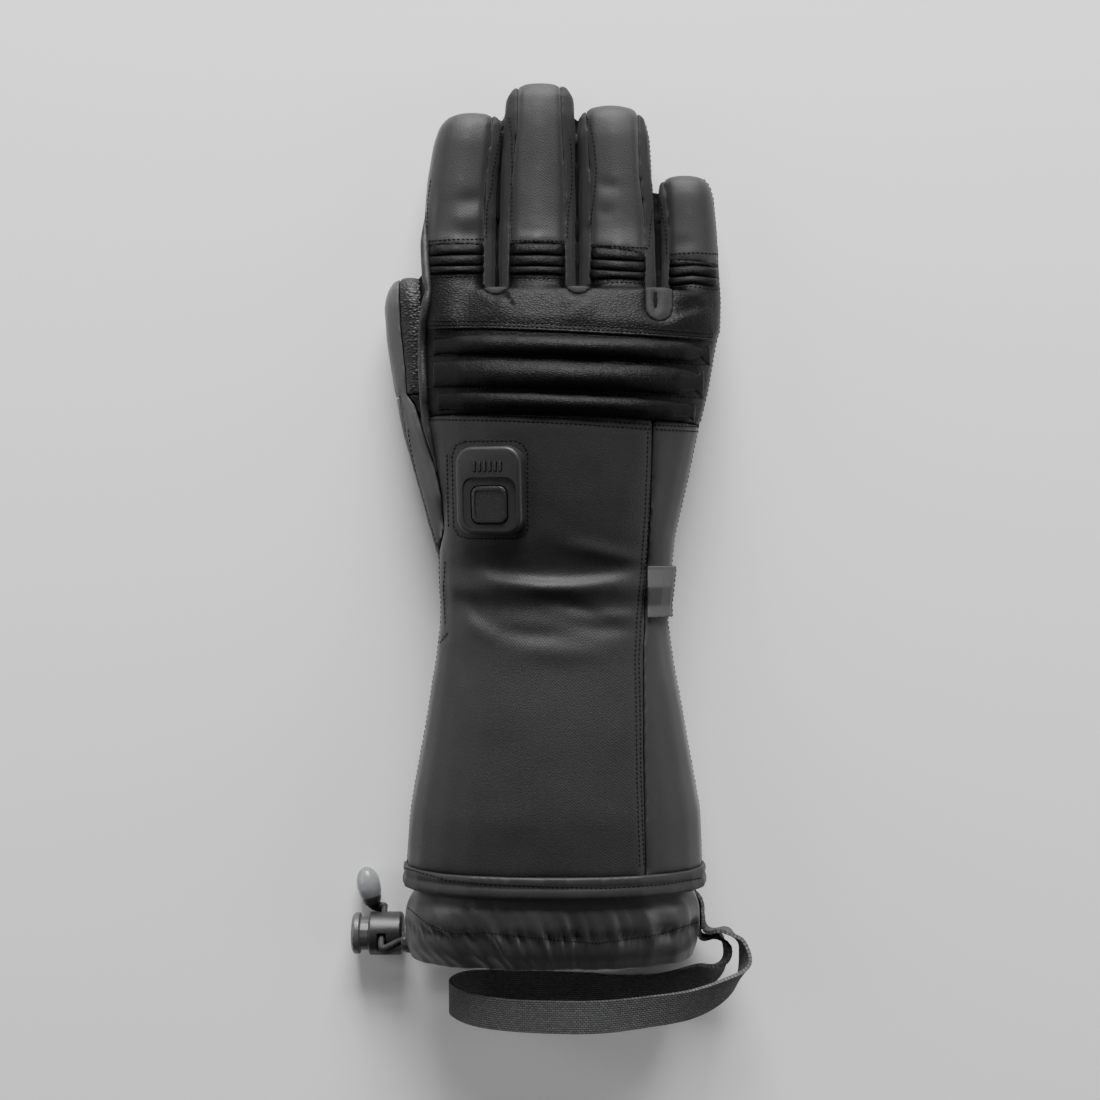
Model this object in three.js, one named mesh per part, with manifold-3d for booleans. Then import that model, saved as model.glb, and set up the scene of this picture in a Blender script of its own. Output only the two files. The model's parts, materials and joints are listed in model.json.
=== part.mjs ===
// Heated snow glove for the right hand, lying palm down.
// +X runs from the thumb side to the little finger, +Y towards the fingertips, +Z out of the back.
// The outer form is lofted from section tables, made hollow, and cut along its seams into panels.
import * as THREE from 'three';
import { mergeVertices } from 'three/addons/utils/BufferGeometryUtils.js';
import Module from 'manifold-3d';

const wasm = await Module();
wasm.setup();

// Driving dimensions in millimetres
const seamGap = 0.3;          // clearance between pieces that touch
const handLength = 104;       // wrist line to the roots of the fingers
const palmWidth = 121;
const palmHeight = 52;
const wristWidth = 93.5;
const wristHeight = 46;
const cuffLength = 134;       // wrist line to the hem
const cuffWidth = 120;
const cuffHeight = 61;
const paddedWall = 3.6;
const fingerHeight = 28;
const indexLength = 75;
const middleLength = 87;
const ringLength = 78;
const littleLength = 50;
const thumbLength = 112;
const thumbWidth = 31;
const thumbHeight = 27;
const fourchetteWidth = 10;
const hemWidth = 7;
const hemProud = 0.9;
const hemWall = 4.6;
const skirtLength = 30;
const skirtWall = 1;
const skirtTuck = 12;         // stretch of the skirt that is hidden inside the hem
const gatherCount = 11;
const gatherDepth = 0.9;
const ribHeight = 3.4;
const fingerPadHeight = 1.5;
const tabWidth = 20.5;
const tabThickness = 1.4;
const controllerWidth = 27;
const controllerLength = 34.5;
const controllerHeight = 4.6;
const buttonWidth = 14.4;
const buttonTravel = 0.8;
const lockDiameter = 17.6;
const lockLength = 14;
const lockWall = 2;
const plungerTravel = 3;
const flangeDiameter = 16.8;
const flangeThickness = 3.4;
const cordDiameter = 2.6;
const cordEndWidth = 10;
const cordEndLength = 15;
const leashWidth = 12.4;
const leashThickness = 1.7;

const along = (share) => share * (share < 0 ? cuffLength : handLength);

// Outer sections: place along the glove, side edges as shares of the width, and heights
const spans = {
  cuff: { width: cuffWidth, height: cuffHeight },
  wrist: { width: wristWidth, height: wristHeight },
  palm: { width: palmWidth, height: palmHeight },
};
const handSections = [
  { span: 'cuff', at: -1.0, left: -0.489, right: 0.519, top: 1.0, under: -0.022 },
  { span: 'cuff', at: -0.78, left: -0.472, right: 0.507, top: 0.97, under: -0.012 },
  { span: 'cuff', at: -0.52, left: -0.42, right: 0.456, top: 0.88, under: 0.015 },
  { span: 'cuff', at: -0.34, left: -0.388, right: 0.42, top: 0.81, under: 0.04 },
  { span: 'wrist', at: -0.225, left: -0.478, right: 0.516, top: 1.02, under: 0.06 },
  { span: 'wrist', at: -0.165, left: -0.476, right: 0.514, top: 0.97, under: 0.07 },
  { span: 'wrist', at: -0.11, left: -0.482, right: 0.522, top: 1.03, under: 0.07 },
  { span: 'wrist', at: -0.055, left: -0.486, right: 0.532, top: 0.965, under: 0.06 },
  { span: 'palm', at: 0.05, left: -0.372, right: 0.42, top: 0.92, under: 0.025 },
  { span: 'palm', at: 0.2, left: -0.372, right: 0.45, top: 0.955, under: -0.01 },
  { span: 'palm', at: 0.43, left: -0.41, right: 0.494, top: 0.985, under: -0.035 },
  { span: 'palm', at: 0.62, left: -0.438, right: 0.533, top: 1.0, under: -0.035 },
  { span: 'palm', at: 0.86, left: -0.434, right: 0.57, top: 0.92, under: -0.01 },
  { span: 'palm', at: 1.0, left: -0.428, right: 0.573, top: 0.8, under: 0.03 },
].map((row) => {
  const { width, height } = spans[row.span];
  return {
    y: along(row.at),
    left: row.left * width,
    right: row.right * width,
    top: row.top * height,
    under: row.under * height,
  };
});
const widestShare = 0.46;     // height of the widest line between underside and top
const roundness = 2.3;        // 2 is an ellipse, more is squarer

function sectionAt(sections, y) {
  const last = sections.length - 1;
  const found = sections.findIndex((section) => section.y >= y);
  const upper = Math.min(Math.max(found < 0 ? last : found, 1), last);
  const a = sections[upper - 1];
  const b = sections[upper];
  const t = (y - a.y) / (b.y - a.y);
  const mix = (key) => a[key] + t * (b[key] - a[key]);
  return { y, left: mix('left'), right: mix('right'), top: mix('top'), under: mix('under') };
}

// One ring of a soft tube, grown outwards or inwards by grow
function ringOf(section, grow, count) {
  const centre = (section.left + section.right) / 2;
  const half = (section.right - section.left) / 2 + grow;
  const widest = section.under + widestShare * (section.top - section.under);
  const points = [];
  for (let i = 0; i < count; i += 1) {
    const turn = (2 * Math.PI * i) / count;
    const c = Math.cos(turn);
    const s = Math.sin(turn);
    const across = Math.sign(c) * Math.abs(c) ** (2 / roundness);
    const rise = Math.sign(s) * Math.abs(s) ** (2 / roundness);
    const reach = (s > 0 ? section.top - widest : widest - section.under) + grow;
    points.push(new THREE.Vector3(centre + half * across, section.y, widest + reach * rise));
  }
  return points;
}

// Height of the upper side of a soft tube above one place
function topAt(sections, x, y) {
  const section = sectionAt(sections, y);
  const centre = (section.left + section.right) / 2;
  const half = (section.right - section.left) / 2;
  const widest = section.under + widestShare * (section.top - section.under);
  const share = Math.min(Math.abs(x - centre) / half, 0.999);
  return widest + (section.top - widest) * (1 - share ** roundness) ** (1 / roundness);
}

// Closed body through a list of rings, with a fan over each end
function loft(rings) {
  const count = rings[0].length;
  const points = rings.flat();
  const faces = [];
  for (let r = 0; r + 1 < rings.length; r += 1) {
    for (let i = 0; i < count; i += 1) {
      const j = (i + 1) % count;
      const a = r * count + i;
      const b = r * count + j;
      faces.push(a, b + count, b, a, a + count, b + count);
    }
  }
  const addFan = (first, turned) => {
    const centre = new THREE.Vector3();
    for (let i = 0; i < count; i += 1) centre.add(points[first + i]);
    points.push(centre.divideScalar(count));
    const hub = points.length - 1;
    for (let i = 0; i < count; i += 1) {
      const j = (i + 1) % count;
      faces.push(hub, ...(turned ? [first + j, first + i] : [first + i, first + j]));
    }
  };
  addFan(0, false);
  addFan((rings.length - 1) * count, true);
  const geometry = new THREE.BufferGeometry();
  geometry.setAttribute('position',
    new THREE.Float32BufferAttribute(points.flatMap((p) => [p.x, p.y, p.z]), 3));
  geometry.setIndex(faces);
  return geometry;
}

// Geometry to solid and back
function solidOf(geometry) {
  const plain = geometry.clone();
  plain.deleteAttribute('normal');
  plain.deleteAttribute('uv');
  const merged = mergeVertices(plain, 1e-4);
  const solid = new wasm.Manifold(new wasm.Mesh({
    numProp: 3,
    vertProperties: new Float32Array(merged.attributes.position.array),
    triVerts: new Uint32Array(merged.index.array),
  }));
  return solid;
}

function geometryOf(solid) {
  const mesh = solid.simplify(0.1).getMesh();
  const geometry = new THREE.BufferGeometry();
  geometry.setAttribute('position', new THREE.Float32BufferAttribute(mesh.vertProperties, 3));
  geometry.setIndex(Array.from(mesh.triVerts));
  return geometry;
}

const union = (solids) => solids.reduce((sum, solid) => sum.add(solid));
const volumeOf = (solid) => solid.volume();

// The largest body of a solid, without the slivers that a cut may leave
function mainBody(solid) {
  const bodies = solid.decompose();
  return bodies.reduce((best, body) => (volumeOf(body) > volumeOf(best) ? body : best));
}

const reachAll = 2 * (cuffLength + handLength + middleLength);
function prism(points, low, high) {
  const shape = new THREE.Shape(points.map(([x, y]) => new THREE.Vector2(x, y)));
  const geometry = new THREE.ExtrudeGeometry(shape, { depth: high - low, bevelEnabled: false });
  return solidOf(geometry.translate(0, 0, low));
}

function box(low, high) {
  const size = high.map((value, i) => value - low[i]);
  const geometry = new THREE.BoxGeometry(...size);
  return solidOf(geometry.translate(...low.map((value, i) => value + size[i] / 2)));
}

const aboveHeight = (z) => box([-reachAll, -reachAll, z], [reachAll, reachAll, reachAll]);
const alongFrom = (y) => box([-reachAll, y, -reachAll], [reachAll, reachAll, reachAll]);
const alongTo = (y) => box([-reachAll, -reachAll, -reachAll], [reachAll, y, reachAll]);

// Part of the plan beyond a seam: up is towards the fingers, right towards the little finger
function beyondSeam(seam, side, shift) {
  const upright = side === 'left' || side === 'right';
  const moved = seam.map(([x, y]) => (upright ? [x + shift, y] : [x, y + shift]));
  const first = moved[0];
  const last = moved[moved.length - 1];
  const corners = {
    up: [[reachAll, last[1]], [reachAll, reachAll], [-reachAll, reachAll], [-reachAll, first[1]]],
    down: [[reachAll, last[1]], [reachAll, -reachAll], [-reachAll, -reachAll],
      [-reachAll, first[1]]],
    right: [[last[0], reachAll], [reachAll, reachAll], [reachAll, -reachAll],
      [first[0], -reachAll]],
    left: [[last[0], reachAll], [-reachAll, reachAll], [-reachAll, -reachAll],
      [first[0], -reachAll]],
  }[side];
  return prism([...moved, ...corners], -reachAll, reachAll);
}

// Upright wall along a line in plan, with round ends
function wallAlong(line, half) {
  const sides = [1, -1].map((sign) => line.map(([x, y], i) => {
    const [ax, ay] = line[Math.max(i - 1, 0)];
    const [bx, by] = line[Math.min(i + 1, line.length - 1)];
    const size = Math.hypot(bx - ax, by - ay);
    return [x - (sign * half * (by - ay)) / size, y + (sign * half * (bx - ax)) / size];
  }));
  const [[startX, startY], [nextX, nextY]] = line;
  const heading = Math.atan2(startY - nextY, startX - nextX);
  const round = [];
  const steps = 6;
  for (let i = 1; i < steps; i += 1) {
    const turn = heading + Math.PI / 2 - (Math.PI * i) / steps;
    round.push([startX + half * Math.cos(turn), startY + half * Math.sin(turn)]);
  }
  return prism([...sides[0], ...sides[1].reverse(), ...round], -reachAll, reachAll);
}

// Fingers: centre line at root and tip as shares of the palm's width, free length and girth
const rootAt = 0.84 * handLength;
const fingers = [
  { name: 'index', root: -0.312, tip: -0.262, length: indexLength, girth: 0.254, thick: 1.0 },
  { name: 'middle', root: -0.042, tip: -0.032, length: middleLength, girth: 0.262, thick: 1.03 },
  { name: 'ring', root: 0.226, tip: 0.205, length: ringLength, girth: 0.26, thick: 1.0 },
  { name: 'little', root: 0.476, tip: 0.456, length: littleLength, girth: 0.208, thick: 0.86 },
];
const fingerRings = [
  { at: 0, width: 0.96, height: 1.42, bend: 0 },
  { at: 0.2, width: 1.02, height: 1.24, bend: 0.02 },
  { at: 0.45, width: 1.0, height: 1.04, bend: 0.08 },
  { at: 0.7, width: 0.97, height: 1.0, bend: 0.3 },
  { at: 0.86, width: 0.95, height: 0.97, bend: 0.65 },
  { at: 0.94, width: 0.87, height: 0.86, bend: 0.85 },
  { at: 0.982, width: 0.69, height: 0.64, bend: 0.95 },
  { at: 1, width: 0.38, height: 0.34, bend: 1 },
];
const fingerSides = 12;
const liningSides = 8;        // inner faces have fewer sides

function fingerSections(finger, grow) {
  const tipAt = handLength + finger.length + grow;
  const width = finger.girth * palmWidth;
  const height = finger.thick * fingerHeight;
  return fingerRings.map((row) => {
    const centre = (finger.root + (finger.tip - finger.root) * row.bend) * palmWidth;
    const half = (width * row.width) / 2;
    const lift = 0.5 + 0.09 * height * (1 - row.at);
    return {
      y: rootAt + row.at * (tipAt - rootAt),
      left: centre - half,
      right: centre + half,
      under: lift + (1 - Math.min(row.height, 1)) * height * 0.5,
      top: lift + height * (row.height < 1 ? 0.5 + row.height / 2 : row.height),
    };
  });
}

function fingerLoft(finger, grow) {
  return solidOf(loft(fingerSections(finger, grow).map((section) => {
    const half = (section.right - section.left) / 2;
    return ringOf(section, Math.max(grow, -0.6 * half), grow < 0 ? liningSides : fingerSides);
  })));
}

// Thumb: left edge and width along its length, lying low beside the palm
const thumbRings = [
  { at: 0, left: -0.377, width: 0.8, height: 1.05 },
  { at: 0.24, left: -0.44, width: 1.08, height: 1.3 },
  { at: 0.45, left: -0.5, width: 1.13, height: 1.22 },
  { at: 0.62, left: -0.534, width: 1.02, height: 1.08 },
  { at: 0.79, left: -0.56, width: 0.93, height: 1.0 },
  { at: 0.9, left: -0.568, width: 0.88, height: 0.94 },
  { at: 0.955, left: -0.555, width: 0.74, height: 0.8 },
  { at: 0.985, left: -0.532, width: 0.5, height: 0.56 },
  { at: 1, left: -0.505, width: 0.22, height: 0.26 },
];
const thumbStart = -0.06 * handLength;
const thumbFork = 0.6 * handLength;     // where the thumb leaves the hand

function thumbLoft(grow) {
  const reach = thumbLength - thumbStart + grow;
  const rings = thumbRings.map((row) => {
    const left = row.left * palmWidth;
    const half = (thumbWidth * row.width) / 2;
    const under = 0.4 + 0.5 * thumbHeight * Math.max(1 - row.height, 0);
    const section = {
      y: thumbStart + row.at * reach,
      left,
      right: left + 2 * half,
      under,
      top: under + thumbHeight * row.height,
    };
    return ringOf(section, Math.max(grow, -0.6 * half), grow < 0 ? liningSides : fingerSides);
  });
  return solidOf(loft(rings));
}

// Slots between the fingers, in plan, from crotch to past the tips
const slots = [
  { name: 'index_middle', line: [[-0.178, 1.022], [-0.178, 1.2], [-0.174, 1.42], [-0.152, 1.66],
    [-0.15, 2.2]] },
  { name: 'middle_ring', line: [[0.093, 1.022], [0.093, 1.2], [0.094, 1.42], [0.08, 1.7],
    [0.075, 2.2]] },
  { name: 'ring_little', line: [[0.356, 0.918], [0.36, 1.14], [0.358, 1.3], [0.342, 1.46],
    [0.335, 2.2]] },
].map(({ name, line }) => ({
  name,
  line: line.map(([x, y]) => [x * palmWidth, y * handLength]),
}));
const slotHalf = 0.35;

const handSides = 24;
function handLoft(grow) {
  const sides = grow < 0 ? 2 * liningSides : handSides;
  return solidOf(loft(handSections.map((section) => ringOf(section, grow, sides))));
}

function wholeHand(grow, slotWall) {
  const grown = union([handLoft(grow), ...fingers.map((finger) => fingerLoft(finger, grow))]);
  return grown.subtract(union(slots.map((slot) => wallAlong(slot.line, slotHalf + slotWall))));
}

const thumbFree = (grow) => thumbLoft(grow).intersect(alongFrom(thumbFork - grow));
const hemStart = -cuffLength + hemWidth;
const handOuter = wholeHand(0, 0)
  .subtract(thumbFree(seamGap + 0.3))
  .add(thumbLoft(0).intersect(alongTo(thumbFork)))
  .intersect(aboveHeight(0));
const handInner = wholeHand(-paddedWall, paddedWall)
  .subtract(thumbFree(seamGap + 0.3 + paddedWall))
  .add(thumbLoft(-paddedWall))
  .add(handLoft(-paddedWall).intersect(alongTo(0)).translate([0, -paddedWall, 0]))
  .intersect(aboveHeight(paddedWall));
const shell = handOuter.subtract(handInner).intersect(alongFrom(hemStart + seamGap));
const thumbShell = thumbFree(0)
  .intersect(aboveHeight(0))
  .intersect(alongFrom(thumbFork + seamGap))
  .subtract(thumbLoft(-paddedWall).intersect(aboveHeight(paddedWall)));

// Seam between the back and the palm side, as a height along the glove
const sideSeam = [
  [-1.1, 0.46], [-0.6, 0.46], [-0.2, 0.42], [0.1, 0.4], [0.6, 0.46], [1.0, 0.36], [1.4, 0.26],
  [2.0, 0.25],
].map(([y, z]) => [along(y), z * palmHeight]);

function bySide(upper, shift) {
  const far = upper ? reachAll : -reachAll;
  const line = sideSeam.map(([y, z]) => new THREE.Vector2(y, z + shift));
  const shape = new THREE.Shape([
    ...line, new THREE.Vector2(reachAll, line[line.length - 1].y),
    new THREE.Vector2(reachAll, far), new THREE.Vector2(-reachAll, far),
    new THREE.Vector2(-reachAll, line[0].y),
  ]);
  const geometry = new THREE.ExtrudeGeometry(shape, { depth: 2 * reachAll, bevelEnabled: false });
  geometry.applyMatrix4(new THREE.Matrix4().makeBasis(
    new THREE.Vector3(0, 1, 0), new THREE.Vector3(0, 0, 1), new THREE.Vector3(1, 0, 0)));
  return solidOf(geometry.translate(-reachAll, 0, 0));
}

const halfGap = seamGap / 2;
const upperShell = shell.intersect(bySide(true, halfGap));
const lowerShell = shell.intersect(bySide(false, -halfGap));

// Seams in plan, as shares of the palm's or the cuff's width and of the lengths along the glove
const inPlan = (rows, width) => rows.map(([x, y]) => [x * width, along(y)]);
const fingerSeam = inPlan([[-0.5, 1.176], [-0.15, 1.18], [0.1, 1.178], [0.23, 1.155],
  [0.36, 1.13], [0.6, 1.11]], palmWidth);
const knuckleSeam = inPlan([[-0.6, 0.517], [-0.2, 0.512], [0.15, 0.5], [0.6, 0.478]], palmWidth);
const sidePanelSeam = inPlan([[0.31, -1.1], [0.305, -0.6], [0.308, -0.3], [0.318, -0.1],
  [0.33, 0.15], [0.338, 0.6]], cuffWidth);
const gussetSeam = inPlan([[-0.385, -0.03], [-0.352, 0.08], [-0.36, 0.2], [-0.38, 0.32],
  [-0.412, 0.43], [-0.45, 0.56], [-0.475, 0.6]], palmWidth);
const thumbSeam = inPlan([[-0.475, 0.5], [-0.48, 0.64], [-0.488, 0.74], [-0.5, 0.86],
  [-0.515, 1.2]], palmWidth);
const heelSeam = inPlan([[-0.8, -0.2], [0.8, -0.2]], palmWidth);
const wristSeam = [[-palmWidth, thumbStart], [palmWidth, thumbStart]];

const pieces = {};
const fourchetteCuts = [];
slots.forEach(({ name, line }) => {
  const upTo = (half) => wallAlong(line, half);
  pieces[`fourchette_${name}`] = mainBody(upperShell.intersect(upTo(fourchetteWidth / 2)));
  fourchetteCuts.push(upTo(fourchetteWidth / 2 + seamGap));
});
const backPanels = upperShell.subtract(union(fourchetteCuts));
const fingerBacks = backPanels.intersect(beyondSeam(fingerSeam, 'up', halfGap)).decompose()
  .filter((body) => volumeOf(body) > 100)
  .sort((a, b) => a.boundingBox().min[0] - b.boundingBox().min[0]);
fingers.forEach(({ name }, i) => {
  pieces[`finger_back_${name}`] = fingerBacks[i];
});
const gussetSide = beyondSeam(gussetSeam, 'left', -halfGap)
  .intersect(beyondSeam(wristSeam, 'up', halfGap));
const gussetCut = beyondSeam(gussetSeam, 'left', halfGap)
  .intersect(beyondSeam(wristSeam, 'up', -halfGap));
pieces.knuckle_leather = mainBody(backPanels
  .intersect(beyondSeam(fingerSeam, 'down', -halfGap))
  .intersect(beyondSeam(knuckleSeam, 'up', halfGap))
  .subtract(gussetCut));
const lowerBack = backPanels.intersect(beyondSeam(knuckleSeam, 'down', -halfGap));
pieces.side_panel = mainBody(lowerBack.intersect(beyondSeam(sidePanelSeam, 'right', halfGap)));
pieces.back_softshell = mainBody(lowerBack
  .intersect(beyondSeam(sidePanelSeam, 'left', -halfGap)).subtract(gussetCut));
pieces.thumb_gusset = mainBody(backPanels
  .intersect(beyondSeam(fingerSeam, 'down', -halfGap))
  .intersect(gussetSide));
const thumbUpper = thumbShell.intersect(bySide(true, halfGap - 0.2 * palmHeight));
pieces.thumb_softshell = mainBody(thumbUpper.intersect(beyondSeam(thumbSeam, 'left', -halfGap)));
pieces.thumb_leather = mainBody(thumbShell
  .subtract(bySide(true, -halfGap - 0.2 * palmHeight)
    .intersect(beyondSeam(thumbSeam, 'left', halfGap))));
pieces.palm_leather = mainBody(lowerShell.intersect(beyondSeam(heelSeam, 'up', halfGap)));
pieces.gauntlet_underside = mainBody(lowerShell.intersect(beyondSeam(heelSeam, 'down', -halfGap)));

// Raised relief on the skin: a grid of points over it, with an underside just clear of it
const fingerTables = fingers.map((finger) => fingerSections(finger, 0));
function skinAt(x, y) {
  const heights = fingerTables.map((sections) => {
    const { left, right } = sectionAt(sections, y);
    return x > left && x < right && y > rootAt ? topAt(sections, x, y) : 0;
  });
  return Math.max(y < handLength ? topAt(handSections, x, y) : 0, ...heights);
}

const grownSkin = union([
  handLoft(seamGap), ...fingers.map((finger) => fingerLoft(finger, seamGap)),
]);
function relief({ from, to, upper, lower, height, profile, columns }) {
  const over = [];
  const below = [];
  for (let i = 0; i <= columns; i += 1) {
    const t = i / columns;
    const x = from + t * (to - from);
    const ends = Math.sin(Math.PI * Math.min(Math.max(t, 0.04), 0.96)) ** 0.35;
    const top = upper[0] + t * (upper[1] - upper[0]);
    const bottom = lower[0] + t * (lower[1] - lower[0]);
    profile.forEach((share, j) => {
      const y = top + (j / (profile.length - 1)) * (bottom - top);
      const base = skinAt(x, y) + seamGap;
      below.push([x, y, base - height]);
      over.push([x, y, base + height * share * ends]);
    });
  }
  const wide = profile.length;
  const shift = over.length;
  const faces = [];
  const quad = (a, b, c, d) => faces.push(a, b, c, a, c, d);
  for (let i = 0; i < columns; i += 1) {
    for (let j = 0; j + 1 < wide; j += 1) {
      const a = i * wide + j;
      quad(a, a + 1, a + wide + 1, a + wide);
      quad(a + shift, a + wide + shift, a + wide + 1 + shift, a + 1 + shift);
    }
    const a = i * wide;
    quad(a, a + wide, a + wide + shift, a + shift);
    const b = a + wide - 1;
    quad(b, b + shift, b + wide + shift, b + wide);
  }
  const last = columns * wide;
  for (let j = 0; j + 1 < wide; j += 1) {
    quad(j, j + shift, j + 1 + shift, j + 1);
    quad(last + j, last + j + 1, last + j + 1 + shift, last + j + shift);
  }
  const geometry = new THREE.BufferGeometry();
  geometry.setAttribute('position',
    new THREE.Float32BufferAttribute([...over, ...below].flat(), 3));
  geometry.setIndex(faces);
  return mainBody(solidOf(geometry).subtract(grownSkin));
}

// Padded ribs over the knuckles: left and right ends of their edges along the hand
const ribs = [
  { upper: [0.822, 0.79], lower: [0.737, 0.705], from: -0.388, to: 0.532, height: 1 },
  { upper: [0.728, 0.692], lower: [0.612, 0.578], from: -0.386, to: 0.508, height: 1.05 },
  { upper: [0.603, 0.565], lower: [0.524, 0.49], from: -0.372, to: 0.48, height: 0.95 },
];
const ribProfile = [0.12, 0.7, 1, 1, 0.7, 0.12];
const reliefs = {};
ribs.forEach((rib, i) => {
  reliefs[`knuckle_rib_${i + 1}`] = relief({
    from: rib.from * palmWidth,
    to: rib.to * palmWidth,
    upper: rib.upper.map((share) => share * handLength),
    lower: rib.lower.map((share) => share * handLength),
    height: ribHeight * rib.height,
    profile: ribProfile,
    columns: 10,
  });
});
const fingerPads = [
  { name: 'index', across: 0.0, upper: [1.15, 1.168], lower: [1.035, 1.055] },
  { name: 'middle', across: -0.02, upper: [1.168, 1.168], lower: [1.06, 1.06] },
  { name: 'ring', across: 0.0, upper: [1.155, 1.14], lower: [1.035, 1.02] },
  { name: 'little', across: 0.02, upper: [1.11, 1.1], lower: [1.0, 1.0] },
];
const padProfile = [0.15, 0.9, 0.9, 0.3, 1, 1, 0.3, 0.9, 0.9, 0.15];
fingers.forEach((finger, i) => {
  const pad = fingerPads[i];
  const half = 0.35 * finger.girth * palmWidth;
  const centre = (finger.root + pad.across * finger.girth) * palmWidth;
  reliefs[`finger_pad_${pad.name}`] = relief({
    from: centre - half,
    to: centre + half,
    upper: pad.upper.map((share) => share * handLength),
    lower: pad.lower.map((share) => share * handLength),
    height: fingerPadHeight,
    profile: padProfile,
    columns: 3,
  });
});

// Sleeve around the outer form, between two places along it, open at both ends
function sleeve(grow, wall, from, to) {
  const inner = handLoft(grow - wall).intersect(aboveHeight(wall)).translate([0, -1, 0]);
  return handLoft(grow)
    .intersect(aboveHeight(0))
    .intersect(alongFrom(from))
    .intersect(alongTo(to))
    .subtract(inner);
}
const hemBinding = sleeve(hemProud, hemWall, -reachAll, hemStart);

// Wrist tab: from the side panel's seam round the little-finger edge to the underside
const tabCentre = -0.124 * cuffLength;
const tabSleeve = handLoft(seamGap + tabThickness).subtract(handLoft(seamGap))
  .intersect(alongFrom(tabCentre - tabWidth / 2))
  .intersect(alongTo(tabCentre + tabWidth / 2));
const tabOver = prism([[0.408, -1], [1, -1], [1, 1], [0.42, 1]].map(([x, y]) => (
  [x * wristWidth, y * cuffLength])), 0.4 * wristHeight, reachAll);
const tabUnder = prism([[0.15, -1], [1, -1], [1, 1], [0.15, 1]].map(([x, y]) => (
  [x * wristWidth, y * cuffLength])), -reachAll, 0.41 * wristHeight);
const wristTab = mainBody(tabSleeve.intersect(tabOver.add(tabUnder)));

// Gathered skirt inside the hem: growth of the section, shift of its right side, drop of its top
// and depth of the gathers
const skirtEase = 1.7;        // the skirt hangs this far inside the walls around it
const skirtInside = Math.min(hemProud - hemWall, -paddedWall) - skirtEase;
const skirtFloor = Math.max(hemWall, paddedWall) + 2 * seamGap;
const skirtRings = [
  {
    at: -skirtTuck / skirtLength, grow: skirtInside, right: 0, floor: skirtFloor, drop: 0,
    gather: 0,
  },
  { at: 0.05, grow: skirtInside, right: 0, floor: skirtFloor, drop: 0, gather: 0 },
  { at: 0.14, grow: -1.6, right: -0.5, floor: 0.6 * skirtFloor, drop: 0.01, gather: 0.4 },
  { at: 0.5, grow: 0.8, right: -2.8, floor: 0, drop: 0.06, gather: 0.8 },
  { at: 0.72, grow: 0.2, right: -3, floor: 0, drop: 0.1, gather: 1.3 },
  { at: 1, grow: -1.5, right: -2.5, floor: 0, drop: 0.15, gather: 1 },
];
const skirtSides = 4 * gatherCount;
function skirtLoft(inset) {
  const ends = [1, 0, 0, 0, 0, -1];
  return solidOf(loft(skirtRings.map((row, r) => {
    const y = -cuffLength - row.at * skirtLength;
    const around = sectionAt(handSections, Math.max(y, -cuffLength));
    const section = {
      ...around,
      y: inset > 0 ? y + ends[r] : y,
      right: around.right + row.right,
      top: around.top - row.drop * cuffHeight,
      under: row.floor + row.grow,
    };
    const middle = (around.left + around.right) / 2;
    const centre = new THREE.Vector3(middle, section.y, 0.4 * section.top);
    return ringOf(section, row.grow - inset, skirtSides).map((point, i) => {
      const wave = gatherDepth * row.gather * (Math.cos((Math.PI * i) / 2) - 0.5);
      const out = point.clone().sub(centre).normalize();
      return point.addScaledVector(out, wave);
    });
  }).reverse()));
}
const snowSkirt = skirtLoft(0).intersect(aboveHeight(0))
  .subtract(skirtLoft(skirtWall).intersect(aboveHeight(skirtWall)));

// Heat controller: a frame on the back of the hand, square to the skin at its centre
const controllerAt = [-0.188 * palmWidth, 0.225 * handLength];
const slopeSpan = 8;
const slopes = [0, 1].map((axis) => {
  const [ahead, behind] = [1, -1].map((sign) => {
    const [x, y] = controllerAt.map((value, i) => value + (i === axis ? sign * slopeSpan : 0));
    return topAt(handSections, x, y);
  });
  return (ahead - behind) / (2 * slopeSpan);
});
const outwards = new THREE.Vector3(-slopes[0], -slopes[1], 1).normalize();
const sideways = new THREE.Vector3(1, 0, slopes[0]).normalize();
const controllerFrame = new THREE.Matrix4()
  .makeBasis(sideways, new THREE.Vector3().crossVectors(outwards, sideways), outwards)
  .setPosition(...controllerAt, topAt(handSections, ...controllerAt));

function roundedShape(width, length, radius, x, y) {
  const shape = new THREE.Shape();
  const [w, l] = [width / 2 - radius, length / 2 - radius];
  shape.absarc(x + w, y + l, radius, 0, Math.PI / 2);
  shape.absarc(x - w, y + l, radius, Math.PI / 2, Math.PI);
  shape.absarc(x - w, y - l, radius, Math.PI, 1.5 * Math.PI);
  shape.absarc(x + w, y - l, radius, 1.5 * Math.PI, 2 * Math.PI);
  return shape;
}

function roundedPlate({ width, length, radius, low, high, x = 0, y = 0, bevel = 0 }) {
  const inner = roundedShape(width - 2 * bevel, length - 2 * bevel, radius - bevel, x, y);
  const geometry = new THREE.ExtrudeGeometry(inner, {
    depth: high - low - 2 * bevel,
    curveSegments: 3,
    bevelEnabled: bevel > 0,
    bevelThickness: bevel,
    bevelSize: bevel,
    bevelSegments: 1,
  });
  geometry.translate(0, 0, low + bevel);
  return solidOf(geometry.applyMatrix4(controllerFrame));
}
const wellFloor = 1;
const buttonAt = -0.16 * controllerLength;
const buttonRadius = 0.21 * buttonWidth;
const recess = {
  width: 0.83 * controllerWidth,
  length: 0.6 * controllerLength,
  radius: 0.2 * controllerWidth,
  x: 0.02 * controllerWidth,
  y: -0.145 * controllerLength,
  low: controllerHeight - 1.1,
  high: 2 * controllerHeight,
};
const slitCount = 6;
const slitPitch = 0.083 * controllerWidth;
const slitDepth = 0.8;
const slits = [];
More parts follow.
